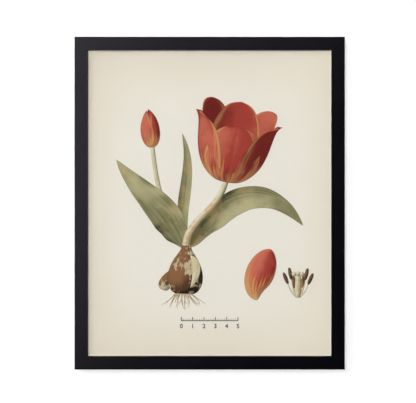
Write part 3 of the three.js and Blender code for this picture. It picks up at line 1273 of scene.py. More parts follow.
@dataclass
class Mouldings:
    """The four mitred lengths of moulding.

    Attributes:
        fit: The solids' sizes.
        rounds: The section's radii, from the outer front edge by way of the sight edge.
        mitre_trim: What each end stands back from the mitre's plane.
        paint_lap: How far the paint laps round onto the back.
        lip_lap: The same, behind the sight edge.
        seat_reach: How far in front of the rabbet's seat raw wood would start, with no sight edge.
        grain_step: How far apart two lengths' grains lie, along the length and across it.
    """

    fit: Fit
    rounds: Row = (1.5, 0.8, 0.3, 0.2, 0.3, 0.5)
    mitre_trim: float = 0.05
    paint_lap: float = 1.1
    lip_lap: float = 1.3
    seat_reach: float = 0.6
    grain_step: Pair = (900.0, 60.0)

    def section(self) -> Array:
        """The section's outline as (inwards, y): an L with every corner rounded.

        Returns:
            The outline's points, n by 2.
        """
        fit, seat = self.fit, self.fit.front + self.fit.lip
        corners = [
            (0, fit.front), (fit.face, fit.front), (fit.face, seat),
            (fit.back_width, seat), (fit.back_width, fit.back), (0, fit.back),
        ]
        return eased(corners, self.rounds, 6)

    def length(self, side: Side) -> Patch:
        """One mitred length.

        The section is carried from end to end, and each of its points stops where the mitre's plane
        crosses it: as far short of the corner as it is inwards. Past paint is the least of three
        distances: from the paint's edge on the back, from the front, and from the sight edge.

        Args:
            side: Which length.

        Returns:
            A closed patch.
        """
        fit = self.fit
        inwards, y = self.section().T
        half = (fit.height if side.upright else fit.width) / 2 - inwards - self.mitre_trim
        ends = np.array([-1.0, 1.0])[:, None]
        points = stacked(ends * half, y, -inwards)
        steps = np.hypot(np.diff(inwards, append=inwards[:1]), np.diff(y, append=y[:1]))
        girth = np.concatenate([[0], np.cumsum(steps)])
        step_along, step_across = self.grain_step
        along = ends * np.append(half, half[0]) + step_along * side.value
        uv = stacked(along, girth + step_across * side.value) * MM
        made = tube(side.turned(points, fit), uv)
        past = np.minimum(inwards - self.paint_lap, y - fit.front - fit.lip + self.seat_reach)
        past = np.minimum(past, fit.face - inwards - self.lip_lap)
        made.values["past_paint"] = np.tile(past, 2)
        return made

    def build(self) -> None:
        """Makes the four lengths."""
        for side in Side:
            made = piece(f"rail_{side.label}", [self.length(side)], PaintedWood())
            place(made, "black_paint", [f"moulding_{side.label}"])


@dataclass
class Stack:
    """What stands in the rabbet: the glazing, the plate's sheet, the card and the hardboard.

    Attributes:
        fit: The solids' sizes.
        pane_thickness: The glazing's thickness.
        sheet_thickness: The plate's sheet's thickness.
    """

    fit: Fit
    pane_thickness: float = 1.6
    sheet_thickness: float = 0.2

    @property
    def sheet_front(self) -> float:
        """y of the face that the plate is drawn on."""
        return solid_box("print")[1][1] - self.sheet_thickness

    def build(self) -> None:
        """Makes the pane, sheet and back, each with its edges' and corners' radii, and dresses the card."""
        fit = self.fit
        pane, sheet, back = (solid_box(node) for node in ("glazing", "print", "hardboard_back"))
        pane[1][1] = pane[0][1] + self.pane_thickness
        sheet[0][1] = self.sheet_front
        half_width, half_height = fit.width / 2 - fit.face, fit.height / 2 - fit.face
        paper = AgedPaper(half_width=half_width * MM, half_height=half_height * MM, middle_z=fit.middle * MM)
        layers = (
            ("clear_pane", pane, 0.25, 0.6, ClearSheet(), "clear_sheet", "glazing"),
            ("plate_sheet", sheet, 0.03, 0.5, paper, "printed_paper", "print"),
            ("hardboard_sheet", back, 0.35, 0.8, Hardboard(), "hardboard", "hardboard_back"),
        )
        for name, box, ease, corner, finish, slot, node in layers:
            place(piece(name, [board(*box, ease, corner)], finish), slot, [node])
        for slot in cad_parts["filler_board"].material_slots:
            slot.material = Card().material()
        LOG.info("filler_board: dressed")


@dataclass
class Drawing:
    """The plate: a garden tulip with its bulb, a bud and its parts, as thin coloured relief.

    Each form is shaped in space as (right, up, near), shaded once by a lamp at the upper left as an
    illustrator would, and then laid almost flat on the sheet, which keeps what is in front in front.

    Attributes:
        sheet_front: y of the sheet's face.
        middle: z of the sheet's middle.
        squash: How much of a form's depth is left.
        thickness: The relief's thickness.
        lamp: Where the drawn light comes from.
        seed: Starts the random draws.
        scale_size: The scale's width and its line's height.
        scale_up: Its height from the middle.
        scale_parts: How many parts it has.
        ticks: The height and half width of the tick at each part, and at each fifth of a part.
        number_size: The numbers' size.
        number_up: Their baseline's height from the middle.
        number_bold: How far their outlines are pushed out.
        forms: How many forms have been laid down.
    """

    sheet_front: float
    middle: float
    squash: float = 0.0033
    thickness: float = 0.02
    lamp: Triple = (-0.55, 0.5, 0.67)
    seed: int = 41
    scale_size: Pair = (91.0, 1.3)
    scale_up: float = -189.5
    scale_parts: int = 5
    ticks: Points = ((6.5, 0.65), (3.6, 0.35))
    number_size: float = 9.6
    number_up: float = -200.8
    number_bold: float = 0.28
    forms: int = 0

    SEED_STEP: ClassVar[float] = 7.3
    BAR_LEVEL: ClassVar[float] = 0.03
    TICK_LEVEL: ClassVar[float] = 0.035
    NUMBER_LEVEL: ClassVar[float] = 0.04

    def lay(self, form: Array, level: float, dim: float = 1.0, material: int = 0) -> Patch:
        """Shades a form and lays it down.

        Its normal is the cross product of the differences along its rows and columns, turned to face
        the viewer. Tone is 0.2 plus 0.8 of the normal's part towards the lamp, and turn is one less
        the normal's part towards the viewer. y is the sheet's face less the level and the squashed
        depth. Each row's place along the form is its share of the length.

        Args:
            form: rows by columns by (right, up, near).
            level: How far in front of the sheet its zero depth lies.
            dim: What its tone is multiplied by, for a form in shade.
            material: Which of the piece's materials it has.

        Returns:
            A closed patch.
        """
        normal = unit(np.cross(np.gradient(form, axis=0), np.gradient(form, axis=1)))
        facing = np.where(normal[..., 2] >= 0, 1.0, -1.0)
        lit = (normal * facing[..., None]) @ unit(np.array(self.lamp))
        tone = (0.2 + 0.8 * np.clip(lit, 0, 1)) * dim
        turn = 1 - np.abs(normal[..., 2])
        near = level + self.squash * form[..., 2]
        x, z = form[..., 0], self.middle + form[..., 1]
        front = stacked(x, self.sheet_front - near, z)
        back = front + facing[..., None] * np.array([0, self.thickness, 0])
        steps = np.linalg.norm(np.diff(form, axis=0), axis=-1).mean(axis=1)
        along = np.concatenate([[0], np.cumsum(steps) / steps.sum()])
        self.forms += 1
        seed = np.full(tone.shape, self.SEED_STEP * self.forms)
        made = slab(front, back, along, {"tone": tone, "turn": turn, "seed": seed})
        made.material = material
        return made

    def blade(
        self, spine: Points, half_width: float, taper: Pair, roll: Row, cup: float, wave: float = 0.0
    ) -> Array:
        """A leaf or petal.

        A cross-section is carried along a Bezier spine and rolled about it. At s, from -1 to 1, it is
        s half widths to the side and cup s^2 + wave s^2 sin(...) half widths forwards. The width is
        worked out a little way in from both ends, so that no face there is without area.

        Args:
            spine: The spine's control points.
            half_width: Half the width at the widest.
            taper: How fast the width rises and falls, as spindle() has it.
            roll: The roll's control values in degrees.
            cup: How far the edges come forwards.
            wave: How far the edges ripple.

        Returns:
            The form's points.
        """
        t, s = gathered(70), np.linspace(-1, 1, 27)[:, None]
        centre, across, near = spine_frame(spine, t)
        angle = np.radians(bezier([[r] for r in roll], t))
        side = np.cos(angle) * across + np.sin(angle) * near
        face = np.cos(angle) * near - np.sin(angle) * across
        half = half_width * spindle(t * 0.9996 + 0.0002, *taper)[:, None, None]
        ripple = wave * np.sin(7.5 * math.pi * t[:, None, None] + 1.5 * s)
        return centre[:, None] + side[:, None] * half * s + face[:, None] * half * (cup + ripple) * s**2

    def strand(self, spine: Points, thick: float, thin: float, rows: int) -> Array:
        """The near half of a round stem.

        At an angle a from -90 to 90 degrees, a point is radius sin a to the side of a Bezier spine and
        radius cos a in front of it. The radius goes evenly from thick to thin.

        Args:
            spine: The spine's control points.
            thick: The radius at its start.
            thin: The radius at its end.
            rows: Points along it.

        Returns:
            The form's points.
        """
        t, a = np.linspace(0, 1, rows), np.radians(np.linspace(-90, 90, 13))[:, None]
        centre, across, near = spine_frame(spine, t)
        radius = (thick + (thin - thick) * t)[:, None, None]
        return centre[:, None] + radius * (across[:, None] * np.sin(a) + near[:, None] * np.cos(a))

    def turned(self, profile: Points, foot: Row, tilt: float, rows: int) -> Array:
        """The near half of a turned form, such as a bulb.

        A Bezier profile of (radius, height) is carried from -90 to 90 degrees round an axis that leans
        to the right by the tilt.

        Args:
            profile: The profile's control points.
            foot: Where the axis starts, as (right, up, near).
            tilt: The axis's lean in degrees.
            rows: Points along the profile.

        Returns:
            The form's points.
        """
        radius, height = bezier(profile, np.linspace(0, 1, rows)).T[:, :, None]
        a = np.radians(np.linspace(-90, 90, 41))[None]
        local = stacked(radius * np.sin(a), height, radius * np.cos(a))
        return self.leant(local, tilt, 0) + np.asarray(foot)

    @staticmethod
    def leant(points: Array, right: float, near: float) -> Array:
        """Leans points to the right in the sheet's plane, after tipping them towards the viewer.

        Args:
            points: Points as (right, up, near).
            right: The lean in degrees.
            near: The tip in degrees.

        Returns:
            The leant points.
        """
        tip, lean = math.radians(near), math.radians(right)
        x, up, depth = np.moveaxis(points, -1, 0)
        up, depth = up * math.cos(tip) - depth * math.sin(tip), up * math.sin(tip) + depth * math.cos(tip)
        x, up = x * math.cos(lean) + up * math.sin(lean), up * math.cos(lean) - x * math.sin(lean)
        return stacked(x, up, depth)

    def tepal(self, azimuth: float, spread: float, radius: Row, height: Row, flare: float) -> Array:
        """One petal of a cup, about its own axis.

        Radius and height are Beziers of the place along the petal. At s across it, a point is carried
        round the axis to azimuth + s spread width(t). Its edges stand out by flare s^2, and a crease
        runs up the middle.

        Args:
            azimuth: The petal's middle in degrees, 0 towards the viewer and 90 to the right.
            spread: Its half width in degrees.
            radius: The radius's control values.
            height: The height's control values.
            flare: How far its edges stand out, as a share of the radius.

        Returns:
            The form's points.
        """
        t, s = gathered(90)[:, None], np.linspace(-1, 1, 45)[None]
        r = bezier([[v] for v in radius], t[:, 0])
        h = bezier([[v] for v in height], t[:, 0])
        width = spindle(t * 0.998 + 0.001, 0.34, 0.46)
        angle = np.radians(azimuth + s * spread * width)
        crease = 0.035 * np.exp(-((s / 0.07) ** 2)) * (1 - t)
        r = r * (1 + flare * s**2 * t - crease)
        h = h - 0.05 * radius[1] * s**2 * t
        return stacked(r * np.sin(angle), h, r * np.cos(angle))

    def leaves(self) -> list[Patch]:
        """Two broad leaves, and a narrow one that stands behind the stem.

        Returns:
            A patch for each.
        """
        left = self.blade(
            [(-39, -74, 0), (-58, -14, 24), (-96, -4, 34), (-150, 70, 8)],
            25, (0.42, 0.8), (64, 6, -34, 20), 0.34, 0.1,
        )
        right = self.blade(
            [(-34, -70, -4), (12, 6, 18), (92, 44, 26), (150, -36, 2)],
            21, (0.4, 0.75), (-60, -10, 42, -16), 0.36, 0.12,
        )
        narrow = self.blade(
            [(-37, -60, -12), (-54, 4, 0), (-20, 50, 8), (-44, 112, 0)],
            9.5, (0.4, 0.7), (40, -20, 30), 0.4, 0.05,
        )
        return [self.lay(narrow, 0.08, 0.86), self.lay(left, 0.075), self.lay(right, 0.075)]

    def stems(self) -> list[Patch]:
        """The flower's stem and the bud's.

        Returns:
            A patch for each.
        """
        main = self.strand([(-37.5, -86, -2), (-46, -22, 6), (14, -22, 8), (27, 40, 0)], 6.2, 4.6, 110)
        bud = self.strand([(-41, -72, -8), (-78, -10, 0), (-86, 34, 4), (-92, 92, 0)], 4.2, 3.3, 90)
        return [self.lay(bud, 0.05, 0.95), self.lay(main, 0.15)]

    def bulb(self) -> list[Patch]:
        """The bulb in its brown coat, the pale flesh where the coat is torn, and an offset.

        Returns:
            A patch for each.
        """
        coat = self.turned(
            [(8.2, 44), (6.2, 33), (17, 27), (44, 6), (34, -38), (13, -35), (8, -33)], (-39, -112, 0), 2.5, 80
        )
        offset = self.turned([(1.2, 25), (3, 16), (14, 8), (13, -12), (3, -12)], (-71, -128, 0), 24, 50)
        torn = self.blade(
            [(-31, -84, 24), (-16, -98, 36), (-20, -118, 36), (-31, -136, 26)], 6.5, (0.7, 0.9), (8, 0), -0.3
        )
        return [self.lay(offset, 0.12), self.lay(coat, 0.18), self.lay(torn, 0.21, 1.0, 1)]

    def roots(self, count: int = 22) -> list[Patch]:
        """Fine roots that fan down from the bulb's foot, each a wandering strand.

        Args:
            count: How many there are.

        Returns:
            A patch for each.
        """
        draw = np.random.default_rng(self.seed)
        made = []
        for i in range(count):
            start = -1 + 2 * (i + 0.5) / count
            foot = np.array([-43 + 12 * start, -144 + 1.5 * abs(start), 0])
            wander = draw.uniform(-6, 6, 3)
            fall = draw.uniform(17, 30) * (1 - 0.25 * abs(start))
            out = 17 * start
            spine = [
                foot,
                foot + (0.3 * out + 0.4 * wander[0], -0.3 * fall, 3),
                foot + (0.75 * out + wander[1], -0.62 * fall, 2),
                foot + (1.15 * out + wander[2], -fall, 0),
            ]
            made.append(self.lay(self.strand(spine, 0.95, 0.3, 26), 0.05 + 0.004 * i))
        return made

    def cup(self, petals: Points, foot: Row, size: Pair, lean: Pair, level: float) -> list[Patch]:
        """Petals round a cup.

        Args:
            petals: For each, its azimuth, spread, radius at the shoulder, radius at the tip, height,
                flare and dimming.
            foot: The cup's foot.
            size: What radii and heights are multiplied by.
            lean: The lean to the right and towards the viewer, in degrees.
            level: Its level on the sheet.

        Returns:
            A patch for each.
        """
        made = []
        for azimuth, spread, shoulder, tip, tall, flare, dim in petals:
            radius = np.array([0.05, 0.62 * shoulder, 1.3 * shoulder, 0.86 * shoulder, tip]) * size[0]
            height = np.array([0, -0.06, 0.34, 0.8, 1]) * tall * size[1]
            form = self.tepal(azimuth, spread, radius, height, flare)
            made.append(self.lay(self.leant(form, *lean) + np.asarray(foot), level, dim))
        return made

    def bloom(self) -> list[Patch]:
        """The open flower: three petals behind, then two at the sides and one in front.

        Returns:
            A patch for each.
        """
        petals = [
            (180, 52, 1.0, 0.92, 0.98, 0.04, 0.78), (122, 50, 1.02, 1.14, 0.96, 0.06, 0.84),
            (-124, 50, 1.02, 1.12, 1.0, 0.06, 0.84), (66, 50, 1.06, 1.3, 0.9, 0.08, 0.96),
            (-64, 50, 1.06, 1.26, 0.93, 0.08, 1.0), (2, 54, 1.08, 0.98, 0.86, 0.05, 1.0),
        ]
        return self.cup(petals, (27, 37, 0), (54, 122), (11, 14), 0.27)

    def bud(self) -> list[Patch]:
        """The closed bud: its petals wrap over one another to a point.

        Returns:
            A patch for each.
        """
        petals = [
            (150, 70, 1.0, 0.1, 1.0, 0.02, 0.8), (-140, 70, 1.0, 0.12, 0.97, 0.02, 0.8),
            (62, 62, 1.03, 0.1, 0.99, 0.02, 0.92), (-48, 68, 1.06, 0.08, 0.95, 0.04, 1.0),
        ]
        return self.cup(petals, (-92, 90, 0), (17, 62), (-7, 4), 0.24)

    def single_petal(self) -> list[Patch]:
        """One petal on its own, seen from outside.

        Returns:
            A patch.
        """
        form = self.blade(
            [(76, -156, 0), (68, -128, 12), (88, -104, 14), (98, -74, 2)],
            23, (0.62, 0.5), (-14, 8, -10), -0.42, 0.04,
        )
        return [self.lay(form, 0.1)]

    def pistil(self) -> list[Patch]:
        """The pistil with its lobed top among six stamens, the first material green and the second dark.

        Returns:
            A patch for each form.
        """
        foot = np.array([142.0, -152.0, 0.0])
        made = [self.lay(self.turned([(2.5, 0), (6.5, 6), (5.2, 22), (4.4, 34), (4, 37)], foot, 0, 40), 0.2)]
        for x, tilt in ((-4.5, -48), (4.5, 48), (0, 0)):
            lobe = self.turned([(0.4, -1), (5, 0), (4.6, 6), (0.4, 6.5)], foot + (x, 36, 1), tilt, 24)
            made.append(self.lay(lobe, 0.22, 1.1))
        stamens = ((-20, -22, 5), (-13, -12, 12), (-7, -5, -2), (8, 7, -1), (14, 13, 11), (20, 24, 4))
        for i, (x, lean, up) in enumerate(stamens):
            top = foot + (0.8 * x, 17 + up, -2.0)
            thread = self.strand([foot + (0.12 * x, 1, -3), foot + (0.6 * x, 8, -2), top], 1.3, 0.7, 24)
            anther = self.turned([(0.4, 0), (3.8, 1), (3.4, 14), (2.8, 19), (0.4, 20)], top, lean, 30)
            made += [self.lay(thread, 0.1 + 0.005 * i), self.lay(anther, 0.14 + 0.008 * i, 1.0, 1)]
        return made

    def rule(self) -> list[Patch]:
        """A scale: a line with a tall tick at each part and a short one at each fifth of a part.

        Returns:
            A patch for the line and for each tick.
        """
        (width, line), up, fifths = self.scale_size, self.scale_up, self.scale_parts * 5
        bars = [(0.0, line, width / 2, self.BAR_LEVEL)]
        for i in range(fifths + 1):
            bars.append((width * (i / fifths - 0.5), *self.ticks[1 if i % 5 else 0], self.TICK_LEVEL))
        made = []
        for middle, tall, half, level in bars:
            y, z = self.sheet_front - level, self.middle + up
            ring = [(y, z), (y + self.thickness, z), (y + self.thickness, z + tall), (y, z + tall)]
            made.append(tube(np.array([[(x, *at) for at in ring] for x in (middle - half, middle + half)])))
        return made

    def number(self, value: int) -> bpy.types.Object:
        """A plain number under the scale: a text made a mesh and then set in place.

        Args:
            value: The number, which also says at which part of the scale it stands.

        Returns:
            The object, linked to the scene.
        """
        text = bpy.data.curves.new(f"numeral_{value}", "FONT")
        text.body, text.size, text.align_x = str(value), self.number_size * MM, "CENTER"
        text.extrude, text.offset = self.thickness / 2 * MM, self.number_bold * MM
        shown = linked(f"numeral_text_{value}", text)
        bpy.context.view_layer.update()
        seen = shown.evaluated_get(bpy.context.evaluated_depsgraph_get())
        mesh = bpy.data.meshes.new_from_object(seen)
        bpy.data.objects.remove(shown)
        flat = np.empty(len(mesh.vertices) * 3, np.float32)
        mesh.vertices.foreach_get("co", flat)
        right, up, near = flat.reshape(-1, 3).T
        x = right + self.scale_size[0] * (value / self.scale_parts - 0.5) * MM
        y = (self.sheet_front - self.NUMBER_LEVEL) * MM - near
        z = up + (self.middle + self.number_up) * MM
        mesh.vertices.foreach_set("co", stacked(x, y, z).astype(np.float32).ravel())
        mesh.update()
        mesh.materials.clear()
        mesh.materials.append(NUMBER_INK.material())
        return linked(f"plate_number_{value}", mesh)

    def build(self) -> None:
        """Makes every part of the plate."""
        petal = PetalWash()
        made = [
            piece("plate_leaves", self.leaves(), LEAF_WASH),
            piece("plate_stems", self.stems(), STEM_WASH),
            piece("plate_roots", self.roots(), ROOT_WASH),
            piece("plate_bulb", self.bulb(), BULB_WASH, FLESH_WASH),
            piece("plate_bloom", self.bloom(), petal),
            piece("plate_bud", self.bud(), petal),
            piece("plate_petal", self.single_petal(), petal),
            piece("plate_pistil", self.pistil(), STEM_WASH, ANTHER_WASH),
            piece("plate_scale", self.rule(), SCALE_INK),
        ]
        made += [self.number(value) for value in range(self.scale_parts + 1)]
        for part in made:
            place(part, "printed_paper")


@dataclass
class TurnButton:
    """A flat metal button that turns on its screw and holds the back in.

    Attributes:
        pivot_radius: The round about the pivot.
        tip_radius: The round at the tip.
        reach: From the pivot to the middle of the tip's round.
        hole_radius: The hole's radius.
        thickness: The plate's thickness.
        ease: The radius along its edges.
        bead: How far a rib is pressed up along the arm.
        rib: Where the rib starts and is full along the arm, ends and is last full, and is last full
            and ends to each side.
    """

    pivot_radius: float = 6.0
    tip_radius: float = 4.0
    reach: float = 18.0
    hole_radius: float = 1.9
    thickness: float = 1.0
    ease: float = 0.22
    bead: float = 0.3
    rib: Points = ((5.0, 7.5), (19.5, 16.5), (0.8, 2.0))

    def outline(self, angle: Array) -> Array:
        """The edge's distance from the pivot, at an angle from the arm.

        Near the arm it is where the ray leaves the tip's round, reach cos a + sqrt(tip^2 - reach^2
        sin^2 a). Past the tangent's normal it is the pivot's round, and between them the tangent.

        Args:
            angle: Angles in radians.

        Returns:
            The distances.
        """
        a = np.abs(angle)
        normal = math.pi / 2 - math.asin((self.pivot_radius - self.tip_radius) / self.reach)
        touch_x = self.reach + self.tip_radius * math.cos(normal)
        touch = math.atan2(self.tip_radius * math.sin(normal), touch_x)
        inside = np.clip(self.tip_radius**2 - (self.reach * np.sin(a)) ** 2, 0, None)
        tip = self.reach * np.cos(a) + np.sqrt(inside)
        tangent = self.pivot_radius / np.cos(np.clip(normal - a, -1.5, 1.5))
        return np.where(a < touch, tip, np.where(a < normal, tangent, self.pivot_radius))

    def patch(self, pivot: Array, arm: Array, seat: float) -> Patch:
        """The button's body.

        A section runs from the hole to the edge and back, w being the share of the way and e a
        distance added to it, and is carried round the pivot. The rib is the product of smooth steps
        along the arm and across it.

        Args:
            pivot: The pivot's x and z.
            arm: The direction of the arm in x and z.
            seat: y of its underside, towards the wood.

        Returns:
            A closed patch.
        """
        spans = ((0, 11, 10), (13, 80, 14), (84, 172, 16))
        half = np.concatenate([np.linspace(*span) for span in spans])
        angle = np.radians(np.concatenate([half, [180], -half[:0:-1]]))[None]
        turn = np.radians(np.linspace(0, 90, 4))
        rise = self.ease * np.sin(turn)
        inset = self.ease * (1 - np.cos(turn))
        top = self.thickness - self.ease
        across = np.linspace(0.1, 0.9, 15)
        w = np.concatenate([0 * turn, across, 0 * turn + 1, 0 * turn + 1, across[::-1], 0 * turn])
        e = np.concatenate([inset, 0 * across, -inset[::-1], -inset, 0 * across, inset[::-1]])
        high = np.concatenate([top + rise, 0 * across + self.thickness, top + rise[::-1]])
        y = np.concatenate([high, self.ease - rise, 0 * across, (self.ease - rise)[::-1]])
        edge = self.outline(angle)
        radius = self.hole_radius + w[:, None] * (edge - self.hole_radius) + e[:, None]
        out, side = radius * np.cos(angle), radius * np.sin(angle)
        start, end, flank = self.rib
        rib = smooth(out, *start) * smooth(out, *end) * (1 - smooth(np.abs(side), *flank))
        y = seat + y[:, None] + self.bead * rib
        x, z = (pivot[i] + out * arm[i] + side * (arm[1], -arm[0])[i] for i in (0, 1))
        return grid(stacked(x, y, z), Wrap.BOTH).outward()


@dataclass
class Screw:
    """A pan-head screw with a cross recess and a threaded shank.

    Attributes:
        head_radius: The head's radius.
        head_height: Its height.
        rim: The straight part of its edge.
        shank_radius: The shank's radius.
        depth: How far it goes into the wood.
        point: The length of its point.
        recess: The cross's length, width and depth.
        recess_wall: How far the cross's walls lean out, in from its ends and in from its sides.
        chamfer: The rounding under the head, outwards and upwards.
        pitch: The thread's pitch.
        thread: The thread's depth as a share of the radius.
        thread_start: From the wood's face to where the thread starts, and to where it is full.
    """

    head_radius: float = 3.3
    head_height: float = 1.6
    rim: float = 0.4
    shank_radius: float = 1.5
    depth: float = 8.0
    point: float = 2.5
    recess: Triple = (3.6, 0.8, 0.9)
    recess_wall: Triple = (0.12, 0.22, 0.08)
    chamfer: Pair = (0.1, 0.12)
    pitch: float = 1.3
    thread: float = 0.22
    thread_start: Pair = (0.6, 1.6)

    def patch(self, at: Array, top: float, wood: float, turn: float) -> Patch:
        """The screw's body.

        The head's top is a half ellipse less the cross, whose depth is the greater of two bars with
        smooth walls. The thread's radius rises and falls once a turn along the shank.

        Args:
            at: Its x and z.
            top: y of the head's top.
            wood: y of the wood's face.
            turn: How far the cross is turned, in degrees.

        Returns:
            A closed patch.
        """
        angle = np.linspace(0, 2 * math.pi, 64, endpoint=False)[None]
        length, width, deep = self.recess
        out, end, flank = self.recess_wall
        inner, outer = np.linspace(0.12, 2.1, 18), np.linspace(2.3, self.head_radius, 9)
        radius = np.concatenate([inner, outer])[:, None]
        level = np.sqrt(np.clip(1 - (radius / self.head_radius) ** 2, 0, 1))
        dome = self.rim + (self.head_height - self.rim) * level
        own = angle + math.radians(turn)
        x, z = np.abs(radius * np.cos(own)), np.abs(radius * np.sin(own))
        bars = [
            smooth(a, length / 2 + out, length / 2 - end) * smooth(b, width / 2 + out, width / 2 - flank)
            for a, b in ((x, z), (z, x))
        ]
        seat = top - self.head_height
        cross = deep * np.maximum(*bars) * (1 - 0.25 * radius / self.head_radius)
        under = (self.head_radius, self.head_radius - self.chamfer[0], self.shank_radius)
        under_r, under_y = np.array([under, (seat + self.chamfer[1], seat, seat)])[..., None]
        down = np.linspace(0.02, 1, 34)[:, None]
        shank_y = seat - down * (seat - wood + self.depth)
        taper = np.clip((self.depth + shank_y - wood) / self.point, 0.06, 1)
        ridge = 0.5 + 0.5 * np.cos(2 * math.pi * shank_y / self.pitch - angle)
        cut = self.thread * smooth(wood - shank_y, *self.thread_start)
        shank = self.shank_radius * taper * (1 - cut * (1 - ridge**3))
        first, last = (0, top - deep), (0, wood - self.depth)
        parts = first, (radius, seat + dome - cross), (under_r, under_y), (shank, shank_y), last
        rows = [np.broadcast_arrays(r, y, angle)[:2] for r, y in parts]
        return lathe(*(np.concatenate(part) for part in zip(*rows)), at)


@dataclass
class VNail:
    """A steel V that is driven across a mitre.

    Attributes:
        half: Half its plate's thickness.
        proud: How far it stands above the solid's back.
        leg: The length of each leg.
        bend: The radius at its apex.
        ease: The radius along its edges.
    """

    half: float = 0.3
    proud: float = 0.04
    leg: float = 6.9
    bend: float = 0.7
    ease: float = 0.1

    def patch(self, node: str, middle: float) -> Patch:
        """The nail's body: an eased section carried along a V with a rounded apex.

        The path's normal is its direction turned by a quarter. A section point is so far along that
        normal and along y.

        Args:
            node: The solid whose place it takes.
            middle: z of the frame's middle.

        Returns:
            A closed patch.
        """
        low, high = solid_box(node)
        sign = np.sign(((low + high) / 2)[[0, 2]] - (0, middle))
        apex = np.where(sign > 0, high[[0, 2]], low[[0, 2]]) - sign * self.half
        turn = np.radians(np.linspace(0, 90, 7))[:, None]
        quarter = np.concatenate([np.sin(turn), np.cos(turn)], axis=1)
        reach = (self.leg, self.leg / 2)
        first = [apex - sign * (far, 0) for far in reach]
        last = [apex - sign * (0, far) for far in reversed(reach)]
        path = np.concatenate([first, apex - sign * self.bend + self.bend * sign * quarter, last])
        along = unit(np.gradient(path, axis=0))
        normal = stacked(-along[:, 1], along[:, 0])
        start, end = low[1] + self.ease, high[1] + self.proud
        corners = [(-self.half, start), (self.half, start), (self.half, end), (-self.half, end)]
        across, y = eased(corners, [self.ease] * 4, 2).T
        flat = path[:, None] + normal[:, None] * across[None, :, None]
        return tube(stacked(flat[..., 0], y, flat[..., 1]))


@dataclass
class Fixings:
    """The turn buttons with their screws, and the V-nails across the mitres.

    Attributes:
        fit: The solids' sizes.
        seed: Starts the random draws.
    """

    fit: Fit
    seed: int = 7

    def build(self) -> None:
        """Makes them all."""
        zinc, draw = ZincPlate(), np.random.default_rng(self.seed)
        for side in Side:
            outwards = side.turned(np.array([[0, 0, 0], [0, 0, 1.0]]), self.fit)
            arm = (outwards[0] - outwards[1])[[0, 2]]
            for number in (1, 2):
                name = f"{side.label}_{number}"
                low, high = solid_box(f"button_screw_{name}")
                at = ((low + high) / 2)[[0, 2]]
                seat = solid_box(f"turn_button_{name}")[0][1]
                button = piece(f"latch_{name}", [TurnButton().patch(at, arm, seat)], zinc)
                place(button, "zinc_plate", [f"turn_button_{name}"], f"button_{name}")
                body = Screw().patch(at, high[1], self.fit.back, draw.uniform(0, 90))
                place(piece(f"screw_{name}", [body], zinc), "zinc_plate", [f"button_screw_{name}"])
        for corner in ("top_right", "bottom_right", "bottom_left", "top_left"):
            nodes = [f"v_nail_{corner}_{where}" for where in ("outer", "inner")]
            bodies = [VNail().patch(node, self.fit.middle) for node in nodes]
            place(piece(f"mitre_nails_{corner}", bodies, zinc), "zinc_plate", nodes)


